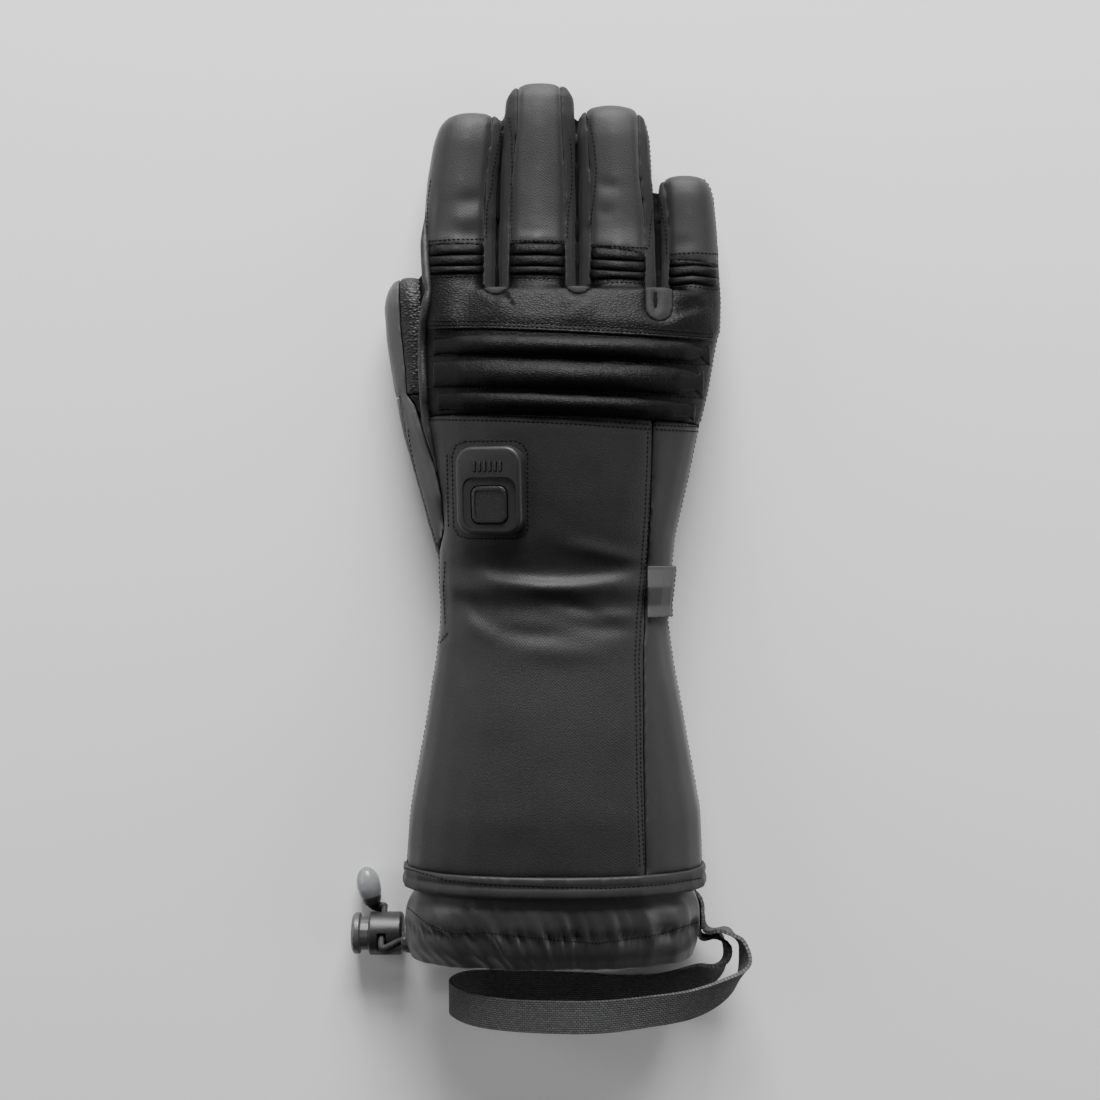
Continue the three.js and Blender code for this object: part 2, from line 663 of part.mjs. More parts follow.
for (let i = 0; i < slitCount; i += 1) {
  const slit = new THREE.BoxGeometry(0.5 * slitPitch, 0.12 * controllerLength, slitDepth * 2);
  slit.translate((i - (slitCount - 1) / 2) * slitPitch, 0.28 * controllerLength,
    controllerHeight);
  slits.push(solidOf(slit.applyMatrix4(controllerFrame)));
}
const housing = roundedPlate({
  width: controllerWidth,
  length: controllerLength,
  radius: 0.25 * controllerWidth,
  low: -controllerHeight,
  high: controllerHeight,
  bevel: 0.9,
}).subtract(union([
  handLoft(seamGap),
  roundedPlate(recess),
  roundedPlate({
    width: buttonWidth + 2 * seamGap,
    length: buttonWidth + 2 * seamGap,
    radius: buttonRadius + seamGap,
    low: wellFloor,
    high: 2 * controllerHeight,
    y: buttonAt,
  }),
  ...slits,
]));
const buttonTop = controllerHeight - 0.2;
const heatButton = roundedPlate({
  width: buttonWidth,
  length: buttonWidth,
  radius: buttonRadius,
  low: wellFloor + buttonTravel + seamGap,
  high: buttonTop,
  y: buttonAt,
  bevel: 0.4,
}).subtract(roundedPlate({
  width: buttonWidth - 2.6,
  length: buttonWidth - 2.6,
  radius: buttonRadius - 1.3,
  low: buttonTop - 0.5,
  high: 2 * controllerHeight,
  y: buttonAt,
}));

// Flat band or doubled cord through stations, each with the direction of its width
function ribbon(stations, width, thickness) {
  const edge = 0.3 * thickness;
  const rings = stations.map(({ at, across }, i) => {
    const before = stations[Math.max(i - 1, 0)].at;
    const after = stations[Math.min(i + 1, stations.length - 1)].at;
    const heading = after.clone().sub(before).normalize();
    const side = across.clone().addScaledVector(heading, -across.dot(heading)).normalize();
    const face = new THREE.Vector3().crossVectors(heading, side);
    const corners = [
      [width / 2, 0], [width / 2 - edge, thickness / 2], [edge - width / 2, thickness / 2],
      [-width / 2, 0], [edge - width / 2, -thickness / 2], [width / 2 - edge, -thickness / 2],
    ];
    return corners.map(([w, t]) => (
      at.clone().addScaledVector(side, w).addScaledVector(face, t))).reverse();
  });
  return solidOf(loft(rings));
}
const station = ([x, y, z, ax, ay, az]) => ({
  at: new THREE.Vector3(x, y, z),
  across: new THREE.Vector3(ax, ay, az),
});

// Wrist leash: shares of the cuff's width, length and height, then the width direction
const leashRoute = [
  [0.43, -1.022, 0.15, 0.55, 0, 0.84], [0.49, -1.07, 0.155, 0.5, 0, 0.87],
  [0.51, -1.125, 0.17, 0.4, 0, 0.92], [0.545, -1.163, 0.225, 0.2, 0.05, 1],
  [0.6, -1.165, 0.31, 0, 0.1, 1], [0.648, -1.195, 0.37, 0.1, 0.2, 1],
  [0.653, -1.262, 0.45, 0.3, 0.6, 0.9], [0.588, -1.308, 0.545, 0.2, 0.9, 0.5],
  [0.468, -1.341, 0.66, 0.1, 1, 0.25], [0.317, -1.352, 0.75, 0, 1, 0.1],
  [0.167, -1.36, 0.805, 0, 1, 0], [0, -1.36, 0.81, 0, 1, 0],
  [-0.15, -1.36, 0.755, 0, 1, 0], [-0.258, -1.36, 0.63, 0, 1, 0],
  [-0.325, -1.358, 0.44, 0, 1, 0], [-0.336, -1.358, 0.26, 0, 1, 0],
  [-0.298, -1.356, 0.11, 0, 1, 0], [-0.215, -1.354, 0.03, 0, 1, 0],
  [-0.083, -1.352, 0.017, 0, 1, 0], [0.1, -1.356, 0.017, 0, 1, 0],
  [0.267, -1.37, 0.03, 0, 1, 0.1], [0.4, -1.36, 0.085, 0, 1, 0.3],
  [0.52, -1.315, 0.17, 0.1, 0.9, 0.5], [0.59, -1.262, 0.235, 0.2, 0.5, 0.8],
  [0.606, -1.213, 0.26, 0.1, 0.2, 1], [0.577, -1.188, 0.245, 0, 0.1, 1],
  [0.525, -1.187, 0.185, 0.2, 0.05, 1], [0.484, -1.14, 0.155, 0.4, 0, 0.92],
  [0.463, -1.075, 0.14, 0.5, 0, 0.87], [0.406, -1.022, 0.12, 0.55, 0, 0.84],
].map(([x, y, z, ...turn]) => station([x * cuffWidth, y * cuffLength, z * cuffHeight, ...turn]));
const wristLeash = ribbon(leashRoute, leashWidth, leashThickness);

// Cord lock: a barrel along X beside the skirt, with a slanted slot for the doubled cord
const lockAt = new THREE.Vector3(-0.565 * cuffWidth, -1.186 * cuffLength, lockDiameter / 2 + 0.1);
const lockOpen = -lockLength / 2;
const slotTilt = THREE.MathUtils.degToRad(40);
const slotOffset = 0.17 * lockDiameter;    // the slot runs off the barrel's centre
const shaftDiameter = lockDiameter - 2 * lockWall;

// Round profile of radius and place pairs, turned about X
function turned(profile) {
  const outline = [[0, profile[0][1]], ...profile, [0, profile[profile.length - 1][1]]];
  const geometry = new THREE.LatheGeometry(outline.map(([r, x]) => new THREE.Vector2(r, x)), 16);
  geometry.rotateZ(-Math.PI / 2);
  return solidOf(geometry.translate(lockAt.x, lockAt.y, lockAt.z));
}

function lockSlot(from, to, width) {
  const geometry = new THREE.BoxGeometry(to - from, width, 2 * lockDiameter);
  geometry.translate((from + to) / 2, slotOffset, 0);
  geometry.rotateX(slotTilt);
  return solidOf(geometry.translate(lockAt.x, lockAt.y, lockAt.z));
}
const cordAcross = 2 * cordDiameter + 0.1;
const slotReach = cordDiameter / 2 + 0.5;
const cordShift = -0.09 * lockLength;
const slotWide = cordAcross + 2;
const lockBarrel = turned([
  [lockDiameter / 2 - 0.6, lockOpen], [lockDiameter / 2, lockOpen + 0.6],
  [lockDiameter / 2, -lockOpen - 1], [lockDiameter / 2 - 1, -lockOpen],
]).subtract(turned([
  [shaftDiameter / 2 + seamGap, lockOpen - 1],
  [shaftDiameter / 2 + seamGap, -lockOpen - lockWall],
])).subtract(lockSlot(cordShift - slotReach, cordShift + slotReach, slotWide));
const shaftEnd = -lockOpen - lockWall - plungerTravel - seamGap;
const flangeFace = lockOpen - plungerTravel - 0.7;
const lockPlunger = turned([
  [flangeDiameter / 2 - 1.2, flangeFace - flangeThickness],
  [flangeDiameter / 2, flangeFace - flangeThickness + 1],
  [flangeDiameter / 2, flangeFace], [shaftDiameter / 2, flangeFace],
  [shaftDiameter / 2, shaftEnd],
]).subtract(lockSlot(
  cordShift - slotReach - plungerTravel,
  cordShift + slotReach,
  cordAcross + 1,
));

// Doubled drawcord: from the skirt's channel over the lock, through its slot, to the cord end
const slotDown = new THREE.Vector3(0, Math.sin(slotTilt), -Math.cos(slotTilt));
const slotAcross = new THREE.Vector3(0, Math.cos(slotTilt), Math.sin(slotTilt));
const slotMiddle = lockAt.clone().addScaledVector(slotAcross, slotOffset)
  .add(new THREE.Vector3(cordShift, 0, 0));
const inSlot = (reach, x = 0, y = 0, z = 0) => slotMiddle.clone()
  .addScaledVector(slotDown, reach * lockDiameter).add(new THREE.Vector3(x, y, z));
const towards = (x, y, z) => new THREE.Vector3(x, y, z);
const mouthAt = new THREE.Vector3(-0.483 * cuffWidth, -1.194 * cuffLength, 0.328 * cuffHeight);
const mouthLength = 2.6;
const mouthRadius = cordAcross / 2 + 1.3;
const cordEndAt = inSlot(0.5, -4.9, 4.1, 0.7);
const cordEndTurn = THREE.MathUtils.degToRad(13);
const cordEndHeading = towards(-Math.sin(cordEndTurn), Math.cos(cordEndTurn), 0);
const drawcord = ribbon([
  { at: mouthAt.clone(), across: towards(0, 1, 0.1) },
  { at: mouthAt.clone().add(towards(-3.4, -0.6, 0.5)), across: towards(0, 1, 0.3) },
  { at: inSlot(-0.6, 3.9, 1, 1.2), across: towards(0, 0.9, 0.5) },
  { at: inSlot(-0.6, 1.4, 0.1, 0.2), across: slotAcross },
  { at: inSlot(-0.5), across: slotAcross },
  { at: inSlot(0), across: slotAcross },
  { at: inSlot(0.5), across: slotAcross },
  { at: inSlot(0.5, -0.6, 1.3, -0.8), across: towards(0.4, 0.75, 0.5) },
  { at: inSlot(0.5, -3, 2, -0.3), across: towards(0.9, 0.5, 0.3) },
  { at: cordEndAt.clone().addScaledVector(cordEndHeading, -0.7), across: towards(0.97, 0.22, 0) },
  { at: cordEndAt.clone().addScaledVector(cordEndHeading, 1.3), across: towards(0.97, 0.22, 0) },
], cordAcross, cordDiameter);

// Gathered mouth of the cord's channel, a short sleeve on the skirt's left wall
const mouthOuter = new THREE.CylinderGeometry(mouthRadius, mouthRadius + 0.8, 2 * mouthLength, 12);
const mouthInner = new THREE.CylinderGeometry(
  cordAcross / 2 + 2 * seamGap, cordAcross / 2 + 2 * seamGap, 6 * mouthLength, 12);
const placeMouth = (geometry) => solidOf(geometry.rotateZ(Math.PI / 2)
  .translate(mouthAt.x, mouthAt.y, mouthAt.z));
const channelMouth = mainBody(placeMouth(mouthOuter)
  .subtract(skirtLoft(-seamGap))
  .subtract(placeMouth(mouthInner)));

// Cord end: a dark core that takes the cord, and a pale cap over its far end
function onCordEnd(profile) {
  const outline = [[0, profile[0][1]], ...profile];
  const geometry = new THREE.LatheGeometry(outline.map(([r, y]) => new THREE.Vector2(r, y)), 12);
  geometry.rotateZ(cordEndTurn);
  return solidOf(geometry.translate(cordEndAt.x, cordEndAt.y, cordEndWidth / 2 + 0.1));
}
const coreLength = 0.3 * cordEndLength;
const capRadius = cordEndWidth / 2;
const cordEndCore = onCordEnd([
  [0.8 * capRadius, 0], [0.86 * capRadius, 1], [0.88 * capRadius, coreLength], [0, coreLength],
]).subtract(onCordEnd([
  [cordAcross / 2 + 0.8, -1], [cordAcross / 2 + 0.8, 1.9], [0, 1.9],
]));
const cordEndCap = onCordEnd([
  [0.9 * capRadius, coreLength + seamGap], [capRadius, 0.5 * cordEndLength],
  [0.96 * capRadius, 0.75 * cordEndLength], [0.74 * capRadius, 0.93 * cordEndLength],
  [0.36 * capRadius, cordEndLength], [0, cordEndLength],
]);

// The glove as a group of named pieces
const looks = {
  softshell: { color: 0x2f2f30, roughness: 0.85, metalness: 0 },
  leather: { color: 0x2b2b2c, roughness: 0.5, metalness: 0 },
  stretch: { color: 0x343435, roughness: 0.8, metalness: 0 },
  tab: { color: 0x4a4a4a, roughness: 0.7, metalness: 0 },
  binding: { color: 0x454546, roughness: 0.6, metalness: 0 },
  nylon: { color: 0x242425, roughness: 0.5, metalness: 0 },
  rubber: { color: 0x2a2a2b, roughness: 0.6, metalness: 0 },
  plastic: { color: 0x303031, roughness: 0.4, metalness: 0 },
  clear: { color: 0x9c9c9c, roughness: 0.3, metalness: 0 },
  elastic: { color: 0x262627, roughness: 0.9, metalness: 0 },
};
const lookOf = {
  palm_leather: 'leather', thumb_leather: 'leather', knuckle_leather: 'leather',
  side_panel: 'stretch',
};
const glove = new THREE.Group();
function addPiece(name, geometry, look) {
  const mesh = new THREE.Mesh(geometry, new THREE.MeshStandardMaterial(looks[look]));
  mesh.name = name;
  glove.add(mesh);
}
Object.entries(pieces).forEach(([name, solid]) => {
  addPiece(name, geometryOf(solid), lookOf[name] ?? 'softshell');
});
Object.entries(reliefs).forEach(([name, solid]) => addPiece(name, geometryOf(solid), 'leather'));
addPiece('hem_binding', geometryOf(hemBinding), 'binding');
addPiece('wrist_tab', geometryOf(wristTab), 'tab');
addPiece('snow_skirt', geometryOf(snowSkirt), 'nylon');
addPiece('cord_channel_mouth', geometryOf(channelMouth), 'nylon');
addPiece('controller_housing', geometryOf(mainBody(housing)), 'rubber');
addPiece('heat_button', geometryOf(heatButton), 'rubber');
addPiece('wrist_leash', geometryOf(wristLeash), 'elastic');
addPiece('cord_lock_barrel', geometryOf(lockBarrel), 'plastic');
addPiece('cord_lock_plunger', geometryOf(lockPlunger), 'plastic');
addPiece('drawcord', geometryOf(drawcord), 'elastic');
addPiece('cord_end', geometryOf(cordEndCore), 'rubber');
addPiece('cord_end_cap', geometryOf(cordEndCap), 'clear');

// The origin is the middle of the glove's box, at the surface that it lies on
const extent = new THREE.Box3().setFromObject(glove);
const middle = extent.getCenter(new THREE.Vector3());
glove.position.set(-middle.x, -middle.y, -extent.min.z);
glove.updateMatrixWorld(true);

export default glove;
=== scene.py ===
# %% [markdown]
# # A heated winter glove, lying palm down
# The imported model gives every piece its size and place. This script dresses it: soft padded
# panels with seams between them, rows of stitches, moulded parts, cloth, leather and light.

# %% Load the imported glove
import json
import math

import bmesh
import bpy
import numpy as np
from mathutils import Matrix, Vector
from mathutils.bvhtree import BVHTree
from mathutils.noise import noise, seed_set


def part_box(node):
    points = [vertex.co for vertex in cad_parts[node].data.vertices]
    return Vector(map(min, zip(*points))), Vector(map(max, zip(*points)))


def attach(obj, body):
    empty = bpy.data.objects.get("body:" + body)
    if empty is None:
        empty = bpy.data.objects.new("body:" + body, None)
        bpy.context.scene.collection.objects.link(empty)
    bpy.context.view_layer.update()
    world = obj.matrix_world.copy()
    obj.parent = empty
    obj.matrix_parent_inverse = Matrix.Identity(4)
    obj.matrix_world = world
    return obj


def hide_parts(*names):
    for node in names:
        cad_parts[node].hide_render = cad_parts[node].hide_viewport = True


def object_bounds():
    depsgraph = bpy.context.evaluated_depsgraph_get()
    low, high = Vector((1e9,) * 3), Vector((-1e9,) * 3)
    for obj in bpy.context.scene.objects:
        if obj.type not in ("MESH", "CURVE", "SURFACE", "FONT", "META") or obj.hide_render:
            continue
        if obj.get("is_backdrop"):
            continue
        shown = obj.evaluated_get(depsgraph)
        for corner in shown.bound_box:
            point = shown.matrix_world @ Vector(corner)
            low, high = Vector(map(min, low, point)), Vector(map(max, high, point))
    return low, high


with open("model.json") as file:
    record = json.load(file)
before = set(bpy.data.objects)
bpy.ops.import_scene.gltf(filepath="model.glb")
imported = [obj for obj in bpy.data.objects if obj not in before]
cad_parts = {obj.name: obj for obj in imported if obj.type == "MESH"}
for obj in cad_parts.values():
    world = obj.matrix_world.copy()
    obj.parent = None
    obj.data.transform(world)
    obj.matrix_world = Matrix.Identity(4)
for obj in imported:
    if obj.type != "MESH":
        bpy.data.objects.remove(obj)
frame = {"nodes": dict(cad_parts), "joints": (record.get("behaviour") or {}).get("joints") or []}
cad_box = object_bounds()
seed_set(7)
MM = 0.001
cuff_width, cuff_length, cuff_height = 120 * MM, 134 * MM, 61 * MM
lock_low, lock_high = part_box("cord_lock_barrel")
lock_centre = (lock_low + lock_high) / 2
# The lock's place as shares of the cuff tells where the middle of the hand lies. It is
# rounded to a hundredth of a millimetre.
hand_middle = Vector((round((lock_centre.x + 0.565 * cuff_width) / MM, 2) * MM,
                      round((lock_centre.y + 1.186 * cuff_length) / MM, 2) * MM, 0))
print("middle of the hand", [round(v / MM, 2) for v in hand_middle])
print("nodes", len(frame["nodes"]), "box", [round(v, 4) for v in cad_box[1]])

# %% [markdown]
# ## Camera and floor
# The glove lies on a pale table and the camera looks straight down at it, as a product
# picture is taken. A pixel of that 1100 by 1100 picture is a line from the eye, so the
# places of seams and stitches can be given as pixels and then dropped on the skin below.

# %% Camera
camera_height = 683 * MM
eye = hand_middle + Vector((0, 0, camera_height))
picture = 1100
sensor = 36
table_scale = 2378.3          # pixels for one metre on the table
camera_data = bpy.data.cameras.new("camera")
camera = bpy.data.objects.new("camera", camera_data)
bpy.context.collection.objects.link(camera)
camera.location = eye
camera_data.sensor_width = sensor
camera_data.lens = sensor * eye.z * table_scale / picture
camera_data.clip_end = 20
bpy.context.scene.camera = camera


def on_table(px, py):
    """The point of the table that a pixel of the picture shows."""
    return Vector((eye.x + (px - picture / 2) / table_scale,
                   eye.y - (py - picture / 2) / table_scale, 0))


def in_plan(px, py, height):
    """The point at a height above the table on a pixel's line of sight."""
    return eye.lerp(on_table(px, py), (eye.z - height) / eye.z)


print("lens", round(camera_data.lens, 1))

# %% [markdown]
# ## Hands-on helpers
# An operator works on all that is selected, so every step starts from nothing selected.
# Mesh points are read and written as arrays, which keeps sculpted moves quick.


# %% Selecting, copying and applying
def only(*objects):
    """Select these objects and nothing else, the first one active."""
    if bpy.context.object and bpy.context.object.mode != "OBJECT":
        bpy.ops.object.mode_set(mode="OBJECT")
    bpy.ops.object.select_all(action="DESELECT")
    for item in objects:
        item.select_set(True)
    bpy.context.view_layer.objects.active = objects[0]
    return objects[0]


def copy_of(nodes, name):
    """A new piece made of copies of CAD nodes, with their loose triangles merged."""
    copies = []
    for node in nodes:
        twin = bpy.data.objects.new(name, frame["nodes"][node].data.copy())
        bpy.context.collection.objects.link(twin)
        twin.data.materials.clear()
        copies.append(twin)
    piece = only(*copies)
    if len(copies) > 1:
        bpy.ops.object.join()
    bpy.ops.object.mode_set(mode="EDIT")
    bpy.ops.mesh.select_all(action="SELECT")
    bpy.ops.mesh.remove_doubles(threshold=1e-6)
    bpy.ops.object.mode_set(mode="OBJECT")
    piece.name = piece.data.name = name
    return piece


def apply_modifier(piece, kind, **settings):
    """Add one modifier, set it and apply it."""
    only(piece)
    modifier = piece.modifiers.new(kind.lower(), kind)
    for key, value in settings.items():
        setattr(modifier, key, value)
    bpy.ops.object.modifier_apply(modifier=modifier.name)


def points_of(piece, what="co"):
    """Places or normals of all points, as an array of rows."""
    flat = np.empty(len(piece.data.vertices) * 3)
    piece.data.vertices.foreach_get(what, flat)
    return flat.reshape(-1, 3)


def put_points(piece, places):
    piece.data.vertices.foreach_set("co", places.ravel())
    piece.data.update()


def smoothly(piece, angle=None):
    only(piece)
    if angle is None:
        bpy.ops.object.shade_smooth()
    else:
        bpy.ops.object.shade_smooth_by_angle(angle=math.radians(angle))


def step_up(value, low, high):
    """Goes softly from 0 at low to 1 at high."""
    t = np.clip((value - low) / (high - low), 0, 1)
    return t * t * (3 - 2 * t)


def finished(piece, material, body="glove", replaced=()):
    """Say what a piece rides on, stands for and is made of."""
    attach(piece, body)
    if replaced:
        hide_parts(*replaced)
    piece.data.materials.clear()
    piece.data.materials.append(material)
    return piece


# %% [markdown]
# ## Shared effects
# Weave, grain and a wear tone are used by several finishes, so each is a node group with its own
# inputs, built once. The groups put out colours and heights, and the shader that they feed stays in
# the material. The tone group also paints shade into the colour, darker in each pattern's hollows.


# %% Node groups
def group_of(name, inputs, outputs):
    """A shader node group with float or colour sockets."""
    tree = bpy.data.node_groups.new(name, "ShaderNodeTree")
    for label, kind, value in inputs:
        socket = tree.interface.new_socket(label, in_out="INPUT", socket_type=kind)
        if value is not None:
            socket.default_value = value
    for label, kind in outputs:
        tree.interface.new_socket(label, in_out="OUTPUT", socket_type=kind)
    return tree, tree.nodes.new("NodeGroupInput"), tree.nodes.new("NodeGroupOutput")


def node(tree, kind, links=(), **settings):
    """A node with its values set and its inputs linked."""
    made = tree.nodes.new(kind)
    for key, value in settings.items():
        setattr(made, key, value)
    for key, source in dict(links).items():
        if hasattr(source, "is_output"):
            tree.links.new(source, made.inputs[key])
        else:
            made.inputs[key].default_value = source
    return made


FLOAT, COLOR, VECTOR = "NodeSocketFloat", "NodeSocketColor", "NodeSocketVector"


def twill_group():
    """Slanting ribs of a woven twill, crossed by a faint thread noise."""
    tree, given, out = group_of("twill_weave", [
        ("Vector", VECTOR, None), ("Pitch", FLOAT, 0.0008), ("Noise", FLOAT, 0.5)],
        [("Height", FLOAT), ("Shade", FLOAT)])
    turned = node(tree, "ShaderNodeMapping", {"Vector": given.outputs["Vector"],
                                              "Rotation": (0, 0, math.radians(38))})
    parts = node(tree, "ShaderNodeSeparateXYZ", {"Vector": turned.outputs[0]})
    lean = node(tree, "ShaderNodeMath", {0: parts.outputs["Z"], 1: 0.7}, operation="MULTIPLY")
    across = node(tree, "ShaderNodeMath", {0: parts.outputs["Y"], 1: lean.outputs[0]},
                  operation="ADD")
    phase = node(tree, "ShaderNodeMath", {0: across.outputs[0], 1: given.outputs["Pitch"]},
                 operation="DIVIDE")
    angle = node(tree, "ShaderNodeMath", {0: phase.outputs[0], 1: 2 * math.pi},
                 operation="MULTIPLY")
    rib = node(tree, "ShaderNodeMath", {0: angle.outputs[0]}, operation="SINE")
    rib01 = node(tree, "ShaderNodeMapRange", {"Value": rib.outputs[0], "From Min": -1.0})
    speck = node(tree, "ShaderNodeTexNoise", {"Vector": given.outputs["Vector"],
                                              "Scale": 1900.0, "Detail": 2.0})
    both = node(tree, "ShaderNodeMix", {"Factor": given.outputs["Noise"],
                                        "A": rib01.outputs[0], "B": speck.outputs[0]})
    tree.links.new(both.outputs[0], out.inputs["Height"])
    # Shade is low in the weave's valleys, where the finishes paint the colour darker as shade.
    shade = node(tree, "ShaderNodeMapRange", {"Value": both.outputs[0], "From Min": 0.25,
                                              "From Max": 0.75})
    tree.links.new(shade.outputs[0], out.inputs["Shade"])
    return tree


def grain_group():
    """Leather grain: warped cells, creased at their edges and domed in their middles."""
    tree, given, out = group_of("leather_grain", [
        ("Vector", VECTOR, None), ("Cells", FLOAT, 900.0), ("Pebble", FLOAT, 0.5)],
        [("Height", FLOAT), ("Shade", FLOAT)])
    bend = node(tree, "ShaderNodeTexNoise", {"Vector": given.outputs["Vector"],
                                             "Scale": 260.0, "Detail": 2.0})
    push = node(tree, "ShaderNodeVectorMath", {0: bend.outputs["Color"],
                                               1: (0.0016, 0.0016, 0.0016)},
                operation="MULTIPLY")
    longer = node(tree, "ShaderNodeVectorMath", {0: given.outputs["Vector"], 1: (0.7, 1.3, 1)},
                  operation="MULTIPLY")
    warped = node(tree, "ShaderNodeVectorMath", {0: longer.outputs[0], 1: push.outputs[0]},
                  operation="ADD")
    cells = node(tree, "ShaderNodeTexVoronoi", {"Vector": warped.outputs[0],
                                                "Scale": given.outputs["Cells"]},
                 feature="F1")
    edges = node(tree, "ShaderNodeTexVoronoi", {"Vector": warped.outputs[0],
                                                "Scale": given.outputs["Cells"]},
                 feature="DISTANCE_TO_EDGE")
    crease = node(tree, "ShaderNodeMapRange", {"Value": edges.outputs["Distance"],
                                               "From Max": 0.28})
    dome = node(tree, "ShaderNodeMapRange", {"Value": cells.outputs["Distance"],
                                             "From Min": 0.7, "From Max": 0.1})
    mixed = node(tree, "ShaderNodeMix", {"Factor": given.outputs["Pebble"],
                                         "A": crease.outputs[0], "B": dome.outputs[0]})
    tree.links.new(mixed.outputs[0], out.inputs["Height"])
    # The creases go out as Shade too, and the finishes paint them darker as shade.
    tree.links.new(crease.outputs[0], out.inputs["Shade"])
    return tree


def tone_group():
    """Broad uneven tone, as use and handling leave it, with painted shade where the pattern's Shade
    is low.
    """
    tree, given, out = group_of("wear_tone_and_painted_shade", [
        ("Vector", VECTOR, None), ("Base", COLOR, (0.05, 0.05, 0.05, 1)),
        ("Amount", FLOAT, 0.25), ("Shade", FLOAT, 1.0), ("Depth", FLOAT, 0.4)],
        [("Color", COLOR), ("Mask", FLOAT)])
    broad = node(tree, "ShaderNodeTexNoise", {"Vector": given.outputs["Vector"],
                                              "Scale": 26.0, "Detail": 4.0})
    fine = node(tree, "ShaderNodeTexNoise", {"Vector": given.outputs["Vector"],
                                             "Scale": 420.0, "Detail": 2.0})
    cloud = node(tree, "ShaderNodeMix", {"Factor": 0.35, "A": broad.outputs[0],
                                         "B": fine.outputs[0]})
    around = node(tree, "ShaderNodeMapRange", {"Value": cloud.outputs[0], "From Min": 0.3,
                                               "From Max": 0.7, "To Min": -1.0})
    swing = node(tree, "ShaderNodeMath", {0: around.outputs[0], 1: given.outputs["Amount"]},
                 operation="MULTIPLY")
    level = node(tree, "ShaderNodeMath", {0: swing.outputs[0], 1: 1.0}, operation="ADD")
    # Painted shade: Depth sets how much darker the colour gets where the pattern's Shade is low, in
    # its hollows.
    dark = node(tree, "ShaderNodeMath", {0: 1.0, 1: given.outputs["Depth"]},
                operation="SUBTRACT")
    lit = node(tree, "ShaderNodeMapRange", {"Value": given.outputs["Shade"],
                                            "To Min": dark.outputs[0]})
    total = node(tree, "ShaderNodeMath", {0: level.outputs[0], 1: lit.outputs[0]},
                 operation="MULTIPLY")
    colour = node(tree, "ShaderNodeVectorMath", {0: given.outputs["Base"],
                                                 "Scale": total.outputs[0]},
                  operation="SCALE")
    tree.links.new(colour.outputs[0], out.inputs["Color"])
    tree.links.new(cloud.outputs[0], out.inputs["Mask"])
    return tree


twill, grain, tone = twill_group(), grain_group(), tone_group()
print("groups", [g.name for g in bpy.data.node_groups])


# %% [markdown]
# ## Finishes
# The glove is all dark, so what tells its materials apart is their surface: matt twill,
# smooth stretch cloth, leather with a sheen on its grain, rubber, nylon and knit. Each
# finish takes its pattern in object coordinates, in metres, so that its scale is real.


# %% A finish from a pattern group
def finish(name, base, rough, pattern, values, bump, depth, amount=0.2, sheen=0.0,
           specular=0.5, uv=False):
    """A material whose colour, roughness and bump follow one pattern and the wear tone, with painted
    shade in the pattern's hollows.
    """
    material = bpy.data.materials.new(name)
    material.use_nodes = True
    tree = material.node_tree
    shader = tree.nodes["Principled BSDF"]
    shader.inputs["Sheen Weight"].default_value = sheen
    shader.inputs["Sheen Roughness"].default_value = 0.45
    shader.inputs["Specular IOR Level"].default_value = specular
    place = node(tree, "ShaderNodeTexCoord")
    made = node(tree, "ShaderNodeGroup", node_tree=pattern)
    tree.links.new(place.outputs["UV" if uv else "Object"], made.inputs["Vector"])
    for key, value in values.items():
        made.inputs[key].default_value = value
    relief = node(tree, "ShaderNodeBump", {"Height": made.outputs["Height"],
                                           "Strength": 1.0, "Distance": bump})
    tree.links.new(relief.outputs[0], shader.inputs["Normal"])
    wear_and_shade = node(tree, "ShaderNodeGroup", node_tree=tone)
    tree.links.new(place.outputs["Object"], wear_and_shade.inputs["Vector"])
    wear_and_shade.inputs["Base"].default_value = (*base, 1)
    wear_and_shade.inputs["Amount"].default_value = amount
    # depth is how much painted shade darkens the colour in the pattern's hollows.
    wear_and_shade.inputs["Depth"].default_value = depth
    tree.links.new(made.outputs["Shade"], wear_and_shade.inputs["Shade"])
    tree.links.new(wear_and_shade.outputs["Color"], shader.inputs["Base Color"])
    rough_swing = 0.1
    sway = node(tree, "ShaderNodeMapRange", {"Value": wear_and_shade.outputs["Mask"],
                                             "To Min": rough - rough_swing,
                                             "To Max": rough + rough_swing})
    tree.links.new(sway.outputs[0], shader.inputs["Roughness"])
    return material


def grey(level):
    return (level, level, level * 1.02)


softshell = finish("softshell", grey(0.0105), 0.6, twill, {"Pitch": 0.0008, "Noise": 0.85},
                   bump=0.00016, depth=0.45, sheen=0.1, specular=0.45)
side_cloth = finish("side_cloth", grey(0.018), 0.62, twill, {"Pitch": 0.0005, "Noise": 0.8},
                    bump=0.00005, depth=0.15, sheen=0.12, specular=0.4)
thumb_cloth = finish("thumb_cloth", grey(0.052), 0.65, twill, {"Pitch": 0.0006, "Noise": 0.7},
                     bump=0.0001, depth=0.25, sheen=0.15, specular=0.4)
gap_cloth = finish("fourchette_cloth", grey(0.017), 0.75, twill,
                   {"Pitch": 0.0007, "Noise": 0.7}, bump=0.0001, depth=0.3, sheen=0.03,
                   specular=0.3)
knuckle_hide = finish("knuckle_hide", grey(0.006), 0.48, grain, {"Cells": 800.0, "Pebble": 0.25},
                      bump=0.00009, depth=0.5, amount=0.1, specular=0.13)
rib_hide = finish("rib_hide", grey(0.006), 0.46, grain, {"Cells": 1100.0, "Pebble": 0.3},
                  bump=0.00008, depth=0.4, amount=0.1, specular=0.11)
roll_hide = finish("roll_hide", grey(0.022), 0.5, grain, {"Cells": 1000.0, "Pebble": 0.3},
                   bump=0.00008, depth=0.4, amount=0.1, specular=0.35)
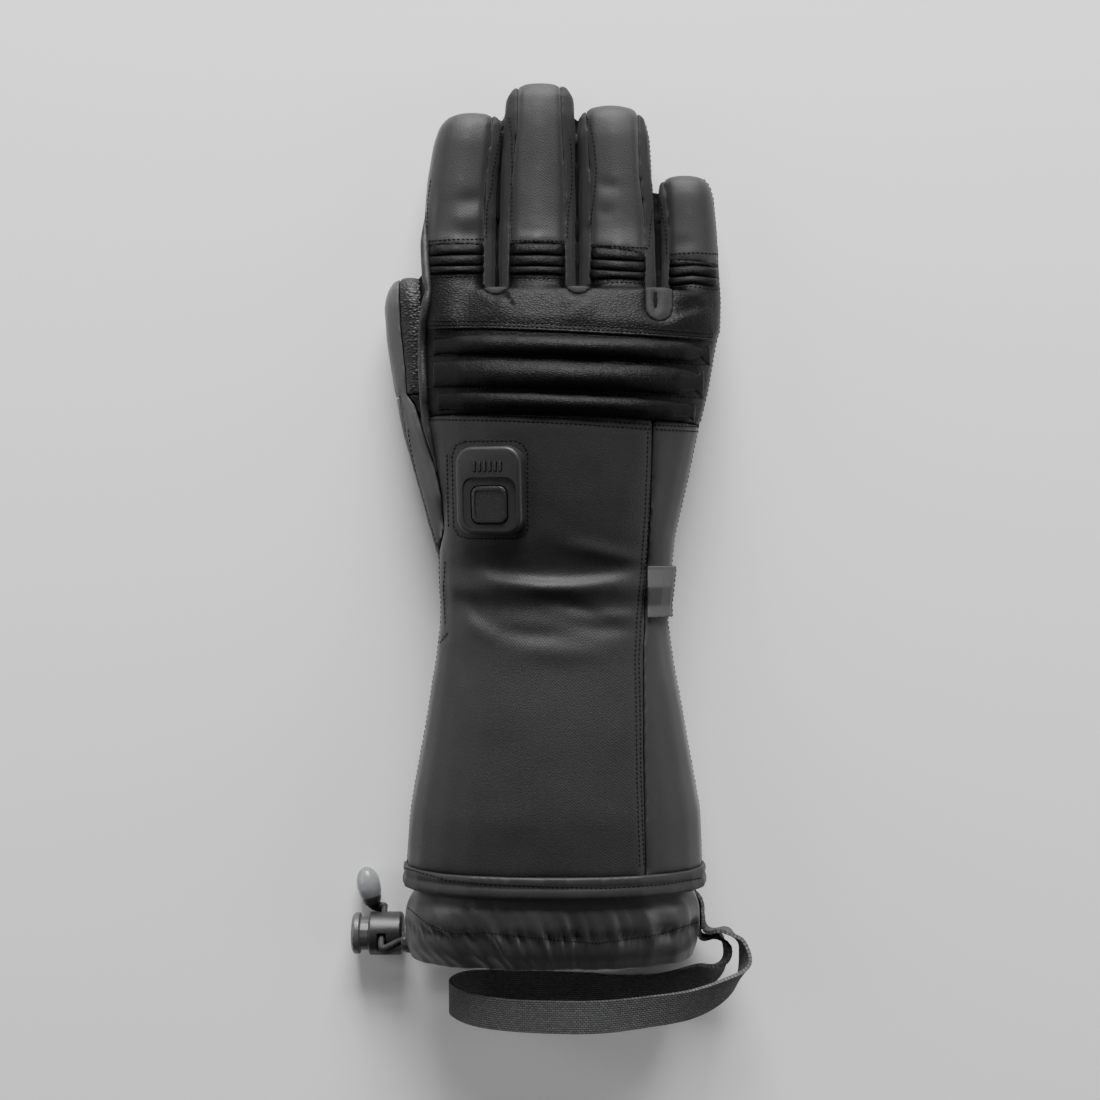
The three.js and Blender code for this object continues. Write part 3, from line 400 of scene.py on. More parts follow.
palm_hide = finish("palm_hide", grey(0.016), 0.45, grain, {"Cells": 720.0, "Pebble": 0.75},
                   bump=0.00022, depth=0.6, amount=0.12, specular=0.32)
thread = finish("thread", grey(0.005), 0.7, twill, {"Pitch": 0.0004, "Noise": 0.2},
                bump=0.00005, depth=0.3, specular=0.2)
tape_cloth = finish("tape_cloth", grey(0.022), 0.55, twill, {"Pitch": 0.0006, "Noise": 0.75},
                    bump=0.00006, depth=0.2, amount=0.15, specular=0.35)
tab_cloth = finish("tab_cloth", grey(0.07), 0.65, twill, {"Pitch": 0.0005, "Noise": 0.85},
                   bump=0.00005, depth=0.15, amount=0.1, specular=0.3)
nylon = finish("nylon", grey(0.048), 0.36, twill, {"Pitch": 0.0005, "Noise": 0.5},
               bump=0.00003, depth=0.15, amount=0.15, sheen=0.04, specular=0.35)
lining_cloth = finish("lining_cloth", grey(0.006), 0.9, twill, {"Pitch": 0.001, "Noise": 0.9},
                      bump=0.0002, depth=0.3, specular=0.1)
rubber = finish("rubber", grey(0.02), 0.45, grain, {"Cells": 2600.0, "Pebble": 0.9},
                bump=0.00003, depth=0.08, amount=0.06, specular=0.4)
button_rubber = finish("button_rubber", grey(0.017), 0.42, grain,
                       {"Cells": 1900.0, "Pebble": 0.9}, bump=0.00006, depth=0.15,
                       amount=0.08, specular=0.4)
plastic = finish("plastic", grey(0.02), 0.38, grain, {"Cells": 3200.0, "Pebble": 0.95},
                 bump=0.00002, depth=0.05, amount=0.1, specular=0.6)
flange_plastic = finish("flange_plastic", grey(0.07), 0.34, grain,
                        {"Cells": 3200.0, "Pebble": 0.95}, bump=0.00002, depth=0.05,
                        specular=0.6)
print("finishes", len(bpy.data.materials))

# %% [markdown]
# ## Padded panels
# The glove is sewn from flat pieces round thick wadding, so each panel is full in the middle
# and dips at its seams. Its solid already has the full form. So each panel starts from a copy
# of its solid, gets an even skin of small faces, is relaxed in the middle and pressed in along
# its seams, and its folds are raised by moving points. No cloth is simulated.

# %% Panels and their finishes
panels = {
    "palm_leather": (1.5, palm_hide, "palm_leather"),
    "gauntlet_underside": (1.6, softshell, "softshell"),
    "back_softshell": (1.15, softshell, "softshell"),
    "side_panel": (1.3, side_cloth, "stretch"),
    "knuckle_leather": (1.15, knuckle_hide, "knuckle_leather"),
    "finger_back_index": (1.1, softshell, "softshell"),
    "finger_back_middle": (1.1, softshell, "softshell"),
    "finger_back_ring": (1.1, softshell, "softshell"),
    "finger_back_little": (1.1, softshell, "softshell"),
    "fourchette_index_middle": (1.0, gap_cloth, "fourchette"),
    "fourchette_middle_ring": (1.0, gap_cloth, "fourchette"),
    "fourchette_ring_little": (1.0, gap_cloth, "fourchette"),
    "thumb_softshell": (1.0, thumb_cloth, "softshell"),
    "thumb_leather": (1.1, palm_hide, "palm_leather"),
}
cut_together = {"thumb_softshell": ["thumb_softshell", "thumb_gusset"]}
seam_dip = 0.55 * MM
seam_reach = 3 * MM


def surface_of(objects):
    """One searchable surface made of several meshes."""
    corners, faces = [], []
    for item in objects:
        start = len(corners)
        corners += [v.co.copy() for v in item.data.vertices]
        faces += [[start + i for i in p.vertices] for p in item.data.polygons]
    return BVHTree.FromPolygons(corners, faces)


def evenly(piece, size):
    """Cover a solid with an even skin of small square faces."""
    only(piece)
    piece.data.remesh_voxel_size = size * MM
    bpy.ops.object.voxel_remesh()


def relax(piece, rounds, free=None, pull=0.5):
    """Draw each point towards the middle of its neighbours; free is 0 where it must stay."""
    places = points_of(piece)
    count = len(places)
    ends = np.empty(len(piece.data.edges) * 2, np.int32)
    piece.data.edges.foreach_get("vertices", ends)
    a, b = ends[0::2], ends[1::2]
    near = np.bincount(a, minlength=count) + np.bincount(b, minlength=count)
    near = np.maximum(near, 1)[:, None]
    strength = pull if free is None else pull * free[:, None]
    for _ in range(rounds):
        total = np.stack([
            np.bincount(a, weights=places[b, k], minlength=count)
            + np.bincount(b, weights=places[a, k], minlength=count) for k in range(3)], axis=1)
        places += strength * (total / near - places)
    put_points(piece, places)


def reach_to(places, surface, limit):
    """How far each place is from a surface, up to a limit, and the way to it."""
    far = np.full(len(places), limit)
    way = np.zeros((len(places), 3))
    for i, place in enumerate(places):
        hit = surface.find_nearest(Vector(place), limit)
        if hit[0] is not None:
            far[i] = hit[3]
            way[i] = (hit[0] - Vector(place)).normalized()
    return far, way


def line_reach(places, line):
    """Distance in plan from a bent line, and the share of its length that lies nearest."""
    best = np.full(len(places), 1e9)
    share = np.zeros(len(places))
    steps = np.linalg.norm(np.diff(line, axis=0), axis=1)
    before = np.concatenate([[0], np.cumsum(steps)])
    for k, step in enumerate(steps):
        way = (line[k + 1] - line[k]) / step
        t = np.clip((places[:, :2] - line[k]) @ way, 0, step)
        far = np.linalg.norm(places[:, :2] - line[k] - t[:, None] * way, axis=1)
        closer = far < best
        best[closer] = far[closer]
        share[closer] = (before[k] + t[closer]) / before[-1]
    return best, share


# %% [markdown]
# The seams show as rows of dark stitches. Their lines were read off the picture once and are
# used twice: the panels dip a little along them, and later the stitches are laid on them.

# %% Rows of stitches, as pixels of the picture
cloth_rows = [
    [(486, 236), (487, 204), (491, 190), (493, 171), (497, 151), (501, 128)],
    [(512, 236), (512, 204), (512, 171), (512, 139), (509, 114)],
    [(567, 236), (568, 213), (571, 194), (572, 174), (571, 151), (570, 137)],
    [(591, 236), (592, 213), (595, 190), (596.5, 171), (594, 144), (591, 125), (586, 115)],
    [(649, 245), (650.5, 222), (653, 203), (652, 185)],
    [(667, 252), (666, 231), (663, 217), (661, 203), (658, 194)],
    [(427, 226), (428, 199), (431, 178)],
    [(430, 241), (450, 239.5), (484, 239)],
    [(513, 240.5), (565, 241)],
    [(591, 244.5), (648, 248)],
    [(670, 254), (696, 252.5), (718, 254)],
    [(431, 415), (500, 416), (570, 419), (650, 424.5), (699, 427)],
    [(431, 419.5), (500, 420.5), (570, 423.5), (650, 429), (698, 431.5)],
    [(652, 433), (651, 466), (649, 516), (645.5, 566), (641, 616), (639, 660), (640, 700),
     (641, 780), (644, 868)],
    [(648, 433), (647, 466), (645, 516), (641.5, 566), (637, 616), (635, 660), (636, 700),
     (637, 780), (640, 868)],
    [(466, 441), (515, 440.5), (523, 444), (527.5, 452), (528, 527), (524, 535), (515, 539),
     (467, 538.5), (458, 535), (453.5, 526), (452, 455), (456, 445), (466, 441)],
    [(447, 456), (448.5, 526)],
    [(445, 563), (443.5, 590), (445.5, 626)],
    [(447, 634), (440, 643)],
]
leather_rows = [
    [(431, 277.5), (455, 276.5), (484, 276)],
    [(511, 277), (565, 278.5)],
    [(589, 284.5), (618, 282), (645, 283)],
    [(667, 287.5), (692, 286.5), (717, 289.5)],
    [(431, 320.5), (490, 321), (554, 323.5), (643, 328), (713, 333.5)],
    [(431, 324.5), (490, 325), (554, 327.5), (643, 332), (713, 337.5)],
    [(429, 355.5), (490, 355), (560, 357), (640, 361), (710, 364.5)],
    [(429, 387.5), (490, 387.5), (560, 390.5), (640, 394.5), (704, 398)],
]
hem_row = [(405, 868), (447, 880), (490, 884), (554, 886.5), (608, 888), (661, 884.5),
           (702, 878)]
skirt_row = [(408, 908), (428, 924), (452, 934), (490, 933), (527, 937), (568, 941),
             (597, 943), (629, 939), (661, 934), (698, 922)]
piping_pixels = [(430, 328), (490, 328), (554, 330.5), (643, 335), (713, 340)]
row_lines = [np.array([in_plan(*p, 44 * MM)[:2] for p in row])
             for row in cloth_rows + leather_rows]
print("rows", len(row_lines))

# %% [markdown]
# The folds of the back were read off the picture: a deep crease where the wrist bends, with
# a ridge on each side of it, then shallower ones down the cuff, and small tucks on fingers.

# %% Folds, as pixels of the picture with a height and a width in millimetres
folds = [
    ([(560, 545), (590, 549), (620, 556), (645, 562)], 1.3, 3.2),
    ([(470, 560), (500, 572), (530, 577), (563, 578), (604, 573), (645, 563)], -1.0, 3.2),
    ([(462, 572), (500, 581), (543, 587), (584, 586), (628, 578)], 1.2, 2.8),
    ([(535, 598), (565, 603), (598, 612)], -0.9, 2.4),
    ([(450, 594), (470, 604), (490, 622)], -0.8, 3.0),
    ([(600, 613), (624, 617), (648, 616)], 0.9, 3.0),
    ([(560, 622), (600, 628), (645, 627)], -0.8, 3.0),
    ([(490, 628), (530, 634), (572, 634)], -0.8, 3.2),
    ([(455, 612), (470, 625), (500, 640)], 0.8, 3.5),
    ([(520, 648), (565, 652), (610, 650)], 0.6, 4.0),
    ([(452, 640), (463, 662), (470, 690)], -0.8, 3.4),
    ([(449, 548), (462, 560), (480, 566)], 0.8, 3.0),
    ([(660, 623), (668, 650), (672, 690)], -0.6, 3.5),
    ([(655, 520), (668, 500), (680, 470)], -0.5, 4.0),
    ([(489, 184), (475, 192), (452, 196)], -0.7, 3.0),
    ([(486, 206), (470, 212), (450, 214)], 0.5, 3.0),
    ([(488, 224), (470, 229), (446, 229)], -0.5, 2.6),
    ([(514, 222), (530, 226), (550, 225)], -0.4, 2.6),
    ([(596, 172), (606, 178), (622, 180)], -0.6, 2.6),
    ([(594, 200), (606, 206), (620, 206)], -0.4, 2.6),
    ([(665, 230), (680, 236), (700, 236)], -0.4, 2.6),
    ([(660, 322), (680, 312), (716, 298)], -0.7, 1.4),
    ([(664, 306), (690, 303), (714, 288)], -0.6, 1.2),
    ([(668, 320), (690, 315), (712, 310)], 0.5, 1.6),
    ([(498, 296), (492, 306), (482, 312)], -0.5, 1.4),
    ([(580, 297), (575, 306), (566, 312)], -0.5, 1.4),
    ([(480, 306), (497, 304), (515, 306)], 1.0, 5.0),
    ([(560, 307), (578, 305), (600, 307)], 1.0, 5.0),
    ([(497, 258), (496.5, 288)], -2.2, 0.8),
    ([(577.5, 258), (577.5, 288)], -2.2, 0.8),
    ([(657, 278), (656, 314)], -2.4, 0.9),
    ([(395, 400), (406, 430), (420, 460)], -0.8, 3.2),
    ([(404, 392), (414, 418), (428, 452)], 0.7, 2.6),
]
fold_lines = [(np.array([in_plan(*p, 42 * MM)[:2] for p in line]), high * MM, wide * MM)
              for line, high, wide in folds]
fold_lines += [(line, -0.28 * MM, 1.3 * MM) for line in row_lines]


def fold_rise(places, facing):
    """How much the folds lift or sink each place of the upper skin."""
    rise = np.zeros(len(places))
    upper = step_up(facing[:, 2], 0.05, 0.4) * (places[:, 2] > 14 * MM)
    for line, high, wide in fold_lines:
        far, share = line_reach(places, line)
        fade = np.sin(np.pi * np.clip(share, 0.04, 0.96)) ** 0.7
        rise += high * fade * np.exp(-(far / wide) ** 2)
    return rise * upper


def uneven(places, size, swing):
    """Slow, seeded unevenness, as wadding gives."""
    return swing * np.array([noise(Vector(p) / size) for p in places])


def make_panel(name, size, spread):
    """One padded panel from its solid."""
    piece = copy_of(cut_together.get(name, [name]), name + "_sewn")
    evenly(piece, size)
    others = surface_of([frame["nodes"][n] for n in panels if n != name])
    far, way = reach_to(points_of(piece), others, 8 * MM)
    rounds = int(spread / size ** 2)
    relax(piece, rounds, free=step_up(far, 0.8 * MM, 5 * MM))
    places, facing = points_of(piece), points_of(piece, "normal")
    edge = 1 - step_up(far, 0.2 * MM, seam_reach)
    inward = facing - (facing * way).sum(1)[:, None] * way
    places -= seam_dip * edge[:, None] * inward
    lift = fold_rise(places, facing) * (0.35 + 0.65 * step_up(far, 0, 3 * MM))
    lift += uneven(places, 14 * MM, 0.22 * MM) * (1 - edge)
    if name.startswith("fourchette"):
        lift += 0.6 * MM * (1 - step_up(np.abs(facing[:, 2]), 0.3, 0.8))
    places += lift[:, None] * facing
    places[:, 2] = np.maximum(places[:, 2], 0)
    put_points(piece, places)
    relax(piece, 3, pull=0.4)
    smoothly(piece)
    return piece


# %% Make the panels
sewn = {}
for name, (size, material, slot) in panels.items():
    piece = make_panel(name, size, 5 if slot == "fourchette" else 26)
    finished(piece, material, replaced=cut_together.get(name, [name]))
    sewn[name] = piece
    print(name, len(piece.data.polygons))

# %% [markdown]
# ## Lining
# Behind the seams of a real glove lie wadding and lining. One dark shell, a millimetre under
# the outer skin, stands for them, so that no seam shows a hole.

# %% Lining
lining = copy_of([*panels, "thumb_gusset", "hem_binding"], "lining")
evenly(lining, 1.9)
relax(lining, 3)
lining_depth = 1.0 * MM
places = points_of(lining) - lining_depth * points_of(lining, "normal")
places[:, 2] = np.maximum(places[:, 2], 0.9 * MM)
put_points(lining, places)
smoothly(lining)
finished(lining, lining_cloth)
print("lining faces", len(lining.data.polygons))

# %% [markdown]
# ## Leather ribs and finger pads
# The ribs are leather stitched down over foam strips. They start from their solids too, and
# a few rounds of relaxing give the foam its soft shoulders. Their undersides are pressed
# into the leather below, where the stitches would pull them down.


# %% Ribs and pads
def make_relief(name, size, rounds, sink):
    piece = copy_of([name], name + "_sewn")
    evenly(piece, size)
    places, facing = points_of(piece), points_of(piece, "normal")
    places += sink * MM * (1 - step_up(facing[:, 2], -0.6, 0.1))[:, None] * facing
    put_points(piece, places)
    relax(piece, rounds)
    places, facing = points_of(piece), points_of(piece, "normal")
    places += uneven(places, 9 * MM, 0.2 * MM)[:, None] * facing
    put_points(piece, places)
    smoothly(piece)
    finished(piece, rib_hide, replaced=[name])
    return piece


for number in (1, 2, 3):
    name = f"knuckle_rib_{number}"
    sewn[name] = make_relief(name, 0.75, 14, 1.0)
print("ribs", [len(sewn[f"knuckle_rib_{n}"].data.polygons) for n in (1, 2, 3)])

# %% [markdown]
# Each finger has three small padded bars across its root. A bar is a strip of leather with
# foam under it: a grid laid between two lines of pixels, dropped on the leather below and
# raised in the middle, so its edges go into the leather as sewn edges do.


# %% Bars across the finger roots
def lay_bar(piece, surface, upper, lower, high, round_ends=0.12):
    """Lay a grid on the skin between two lines of pixels and raise its middle."""
    flat = points_of(piece)
    u, v = (flat[:, 0] + 1) / 2, (1 - flat[:, 1]) / 2
    upper, lower = np.array(upper, float), np.array(lower, float)
    top = np.stack([np.interp(u, np.linspace(0, 1, len(upper)), upper[:, k]) for k in (0, 1)])
    low = np.stack([np.interp(u, np.linspace(0, 1, len(lower)), lower[:, k]) for k in (0, 1)])
    pixels = (top * (1 - v) + low * v).T
    crown = (1 - np.abs(2 * v - 1) ** 2.6) ** 0.6
    ends = step_up(u, 0, round_ends) * step_up(1 - u, 0, round_ends)
    rise = high * crown * (0.35 + 0.65 * ends) - 0.25 * MM
    for i, (px, py) in enumerate(pixels.tolist()):
        way = (on_table(px, py) - eye).normalized()
        hit = surface.ray_cast(eye, way)
        if hit[0] is None or hit[0].z < 8 * MM:
            flat[i] = np.nan
        else:
            flat[i] = hit[0] + float(rise[i]) * hit[1]
    return flat


pad_lines = {
    "index": [[(428, 244), (456, 243), (485.5, 243)], [(428, 256.5), (456, 255), (485, 254.5)],
              [(429, 266.5), (456, 266), (485, 265.5)], [(430, 275), (456, 274), (485, 273.5)]],
    "middle": [[(511, 243.5), (538, 243.5), (566, 244)], [(509.5, 255.5), (538, 255), (566, 256)],
               [(508.5, 266.5), (537, 266), (566, 267)], [(507.5, 275), (537, 274.5), (566, 275.5)]],
    "ring": [[(590.5, 247.5), (618, 248.5), (648.5, 250.5)],
             [(589, 259), (618, 260.5), (648, 262)], [(588, 269), (617, 271), (647, 272.5)],
             [(587, 280), (616, 279), (645.5, 280)]],
    "little": [[(668, 257), (693, 255.5), (719, 256.5)], [(668, 267.5), (693, 265.5), (719, 268)],
               [(667, 278), (693, 275.5), (719, 278.5)], [(667, 286.5), (693, 284), (718.5, 287)]],
}
band_skin = surface_of([sewn["knuckle_leather"]])
for finger, lines in pad_lines.items():
    bars = []
    for upper, lower in zip(lines[:-1], lines[1:]):
        bpy.ops.object.select_all(action="DESELECT")
        bpy.ops.mesh.primitive_grid_add(x_subdivisions=90, y_subdivisions=18, size=2)
        bar = bpy.context.object
        laid = lay_bar(bar, band_skin, upper, lower, 1.5 * MM)
        lost = np.flatnonzero(np.isnan(laid[:, 0]))
        put_points(bar, np.nan_to_num(laid))
        if len(lost):
            net = bmesh.new()
            net.from_mesh(bar.data)
            net.verts.ensure_lookup_table()
            bmesh.ops.delete(net, geom=[net.verts[i] for i in lost], context="VERTS")
            net.to_mesh(bar.data)
            net.free()
        bars.append(bar)
    pad = only(*bars)
    bpy.ops.object.join()
    pad.name = pad.data.name = f"finger_pad_{finger}_sewn"
    apply_modifier(pad, "SOLIDIFY", thickness=0.5 * MM, offset=-1)
    smoothly(pad)
    finished(pad, rib_hide, replaced=[f"finger_pad_{finger}"])
    sewn[f"finger_pad_{finger}"] = pad
    print(pad.name, len(pad.data.polygons), "faces, lost", len(lost))

# %% [markdown]
# ## Leather rolls and piping
# The palm leather is turned up round the index side and ends in a soft roll, and a thin piping
# closes the knuckle band. A tube along a line is the simplest way to both: the line is dropped on
# the skin from the camera, and the roll's radius fades at its ends.


# %% Lines on the skin
def skin_line(surface, pixels, step, longest_hop=6 * MM):
    """Drop a bent line of pixels on the skin and divide it evenly: places, normals, headings."""
    dense = []
    for start, end in zip(pixels[:-1], pixels[1:]):
        start, end = Vector((*start, 0)), Vector((*end, 0))
        parts = max(2, int((end - start).length))
        dense += [start.lerp(end, i / parts) for i in range(parts)]
    dense.append(Vector((*pixels[-1], 0)))
    hits = []
    for pixel in dense:
        way = (on_table(pixel.x, pixel.y) - eye).normalized()
        hit = surface.ray_cast(eye, way)
        if hit[0] is not None and hit[0].z > 0.5 * MM:
            hits.append((hit[0], hit[1]))
    places, walked = [], 0.0
    for (a, na), (b, nb) in zip(hits[:-1], hits[1:]):
        length = (b - a).length
        if length > longest_hop:
            walked = 0.0
            continue
        while walked <= length:
            t = walked / length if length else 0
            places.append((a.lerp(b, t), na.lerp(nb, t).normalized(), (b - a).normalized()))
            walked += step
        walked -= length
    return places


def roll(name, places, radii, material, sides=5):
    """A soft roll through places, with a radius for each, closed at its ends."""
    line = bpy.data.curves.new(name, "CURVE")
    line.dimensions = "3D"
    line.bevel_depth = 1
    line.bevel_resolution = sides
    line.use_fill_caps = True
    spline = line.splines.new("POLY")
    spline.points.add(len(places) - 1)
    for point, place, radius in zip(spline.points, places, radii):
        point.co = (*place, 1)
        point.radius = radius
    piece = bpy.data.objects.new(name, line)
    bpy.context.collection.objects.link(piece)
    only(piece)
    bpy.ops.object.convert(target="MESH")
    bpy.ops.object.mode_set(mode="EDIT")
    bpy.ops.mesh.select_all(action="SELECT")
    bpy.ops.mesh.remove_doubles(threshold=1e-6)
    bpy.ops.mesh.normals_make_consistent(inside=False)
    bpy.ops.object.mode_set(mode="OBJECT")
    smoothly(piece)
    finished(piece, material)
    return piece


skin = surface_of(sewn.values())
edge_pixels = np.array([
    (426, 212), (424.7, 225), (424.6, 242), (425.5, 262), (426.6, 278), (428.6, 291),
    (426.2, 303), (423, 322), (422.2, 342), (422.2, 363), (423.3, 383), (424.4, 404),
    (426.5, 424), (430, 441), (433.5, 456), (437, 472)])
drop = np.linspace(212, 472, 160)
across = np.interp(drop, edge_pixels[:, 1], edge_pixels[:, 0])
heights = []
for px, py in zip(across, drop):
    hits = [skin.ray_cast(eye, (on_table(px + ahead, py) - eye).normalized())[0]
            for ahead in (1.5, 2.5, 3.5)]
    heights.append(float(np.median([hit.z for hit in hits if hit is not None])))
heights = np.convolve(np.pad(heights, 8, mode="edge"), np.ones(17) / 17, mode="valid")
share = np.linspace(0, 1, len(drop))
edge_radii = MM * (0.2 + 1.65 * np.minimum(step_up(share, 0, 0.14), 1 - step_up(share, 0.8, 1)))
edge_radii *= 1 - 0.3 * np.exp(-((drop - 291) / 7) ** 2)
roll("index_edge_roll",
     [in_plan(px, py, z - 0.1 * r) for px, py, z, r
      in zip(across.tolist(), drop.tolist(), heights.tolist(), edge_radii.tolist())],
     edge_radii, roll_hide)
piping_step, piping_radius = 2 * MM, 0.62 * MM
knuckle_line = skin_line(skin, piping_pixels, piping_step)
roll("knuckle_piping", [p + 0.15 * MM * n for p, n, _ in knuckle_line],
     [piping_radius] * len(knuckle_line), knuckle_hide)
print("rolls", len(drop), len(knuckle_line))

# %% [markdown]
# ## Hem, tab and snow skirt
# The hem is a folded tape, thicker below its row of stitches. The skirt inside the cuff is
# thin nylon, gathered by a cord in its casing. It is laid over its solid like a stocking:
# a tube of small faces is drawn in on the solid from outside, and then given its folds.

# %% Hem binding and wrist tab
hem = copy_of(["hem_binding"], "hem_binding_sewn")
evenly(hem, 0.75)
relax(hem, 5)
low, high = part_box("hem_binding")
places, facing = points_of(hem), points_of(hem, "normal")
down = high.y - places[:, 1]
swell = 0.2 * MM * np.exp(-((down - 5.2 * MM) / (1.8 * MM)) ** 2)
swell -= 0.45 * MM * np.exp(-((down - 2.5 * MM) / (0.6 * MM)) ** 2)
swell += 0.1 * MM * np.exp(-((down - 1.2 * MM) / (0.8 * MM)) ** 2)
places += (swell + uneven(places, 12 * MM, 0.15 * MM))[:, None] * facing
places[:, 1] += 1.3 * MM * step_up(-down, -1.5 * MM, 0)
places[:, 2] = np.maximum(places[:, 2], 0)
put_points(hem, places)
relax(hem, 1)
smoothly(hem)
finished(hem, tape_cloth, replaced=["hem_binding"])

tab = copy_of(["wrist_tab"], "wrist_tab_sewn")
evenly(tab, 0.55)
relax(tab, 3)
smoothly(tab)
finished(tab, tab_cloth, replaced=["wrist_tab"])
print("hem", len(hem.data.polygons), "tab", len(tab.data.polygons))

# %% Snow skirt
skirt_low, skirt_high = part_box("snow_skirt")
skirt_solid = surface_of([frame["nodes"]["snow_skirt"]])
axis = Vector(((skirt_low.x + skirt_high.x) / 2, 0, 0.42 * skirt_high.z))


def from_outside(angle, y):
    """The place on the skirt's solid that is met on the way to its axis."""
    out = Vector((math.cos(angle), 0, math.sin(angle)))
    return skirt_solid.ray_cast(Vector((axis.x, y, axis.z)) + 0.2 * out, -out)[0]


bpy.ops.object.select_all(action="DESELECT")
bpy.ops.mesh.primitive_grid_add(x_subdivisions=420, y_subdivisions=60, size=2)
skirt = bpy.context.object
skirt.name = skirt.data.name = "snow_skirt_sewn"
flat = points_of(skirt)
put_points(skirt, np.stack([np.cos(np.pi * flat[:, 0]), flat[:, 1],
                            np.sin(np.pi * flat[:, 0])], axis=1))
only(skirt)
bpy.ops.object.mode_set(mode="EDIT")
bpy.ops.mesh.select_all(action="SELECT")
bpy.ops.mesh.remove_doubles(threshold=1e-4)
bpy.ops.mesh.normals_make_consistent(inside=False)
bpy.ops.object.mode_set(mode="OBJECT")
tube = points_of(skirt)
turn, fall = np.arctan2(tube[:, 2], tube[:, 0]), (1 - tube[:, 1]) / 2
turns, shares = np.linspace(-math.pi, math.pi, 145), np.linspace(0, 1, 31)
top_y, tries = skirt_high.y - 3 * MM, np.linspace(skirt_low.y, skirt_high.y, 120)
ends = [min(y for y in tries if from_outside(a, y) is not None) + 0.2 * MM for a in turns]
radius = np.array([[math.hypot(hit.x - axis.x, hit.z - axis.z) for a, end in zip(turns, ends)
                    for hit in [from_outside(a, top_y + f * (end - top_y))]] for f in shares])
for _ in range(8):
    radius[:, :-1] = (radius[:, :-1] * 2 + np.roll(radius[:, :-1], 1, axis=1)
                      + np.roll(radius[:, :-1], -1, axis=1)) / 4
    radius[:, -1] = radius[:, 0]
    radius[1:-1] = (radius[1:-1] * 2 + radius[2:] + radius[:-2]) / 4
low_y = np.interp(turn, turns, ends)
row = fall * (len(shares) - 1)
upper_row = np.minimum(row.astype(int), len(shares) - 2)
column = (turn + math.pi) / (2 * math.pi) * (len(turns) - 1)
left_column = np.minimum(column.astype(int), len(turns) - 2)
u, v = column - left_column, row - upper_row
reach = ((1 - v) * ((1 - u) * radius[upper_row, left_column]
                    + u * radius[upper_row, left_column + 1])
         + v * ((1 - u) * radius[upper_row + 1, left_column]
                + u * radius[upper_row + 1, left_column + 1]))
put_points(skirt, np.stack([axis.x + reach * np.cos(turn), top_y + fall * (low_y - top_y),
                            np.maximum(axis.z + reach * np.sin(turn), 0.3 * MM)], axis=1))
print("skirt points", len(tube), "lower edge", round(min(ends), 4), round(max(ends), 4))

# %% [markdown]
# The folds of the nylon run down from the hem, lean a little, and are sharpest at the casing
# where the cord gathers it. They are a sum of slanting ripples whose strength changes round
# the skirt, which keeps them from looking like pleats.

# %% Folds of the skirt
places, facing = points_of(skirt), points_of(skirt, "normal")
cuff_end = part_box("hem_binding")[0].y
gone = np.clip((cuff_end - places[:, 1]) / (cuff_end - low_y), 0, 1)
casing = 0.55
ripple = np.zeros(len(places))
for count, lean, size, phase in [(11, 0.5, 0.7, 0.4), (24, 0.75, 0.95, 2.1),
                                 (39, 0.85, 0.6, 4.0), (63, 0.6, 0.25, 1.3)]:
    patchy = np.array([noise(Vector((math.cos(a), math.sin(a), count)) * 1.7 + Vector((0, g, 0)))
                       for a, g in zip(turn, gone)])
    wave = np.sin(count * (turn + 0.35 * lean * gone) + phase + 3 * patchy)
    ripple += size * (0.6 + 0.9 * patchy) * np.sign(wave) * np.abs(wave) ** 1.4
gather = np.exp(-((gone - casing) / 0.1) ** 2)
pucker = np.sin(110 * turn + 4 * np.sin(7 * turn)) * 0.22 * gather
left_side = 1 + 0.8 * step_up(-places[:, 0], 20 * MM, 60 * MM)
lift = (ripple * (0.35 + 0.65 * gather) * left_side + pucker - 0.7 * gather
        + 0.8 * np.exp(-((gone - 0.8) / 0.14) ** 2)) * MM
lift *= step_up(gone, 0.0, 0.3)
places += lift[:, None] * facing
places[:, 2] = np.maximum(places[:, 2], 0.4 * MM)
put_points(skirt, places)
relax(skirt, 1, pull=0.3)
print("skirt cloth", round(sum(p.area for p in skirt.data.polygons) * 1e4, 1), "square cm")
apply_modifier(skirt, "SOLIDIFY", thickness=0.6 * MM, offset=-1)
places = points_of(skirt)
places[:, 2] = np.maximum(places[:, 2], 0)
put_points(skirt, places)
smoothly(skirt)
finished(skirt, nylon, replaced=["snow_skirt"])

mouth = copy_of(["cord_channel_mouth"], "cord_channel_mouth_sewn")
evenly(mouth, 0.5)
relax(mouth, 3)
places, facing = points_of(mouth), points_of(mouth, "normal")
places += uneven(places, 2.6 * MM, 0.5 * MM)[:, None] * facing
put_points(mouth, places)
smoothly(mouth)
finished(mouth, nylon, replaced=["cord_channel_mouth"])
print("skirt faces", len(skirt.data.polygons))

# %% [markdown]
# ## Wrist leash
# The leash is one elastic tape. A flat grid is laid along its route, so that the grid's own
# map can carry the knit, and then it is given its thickness.

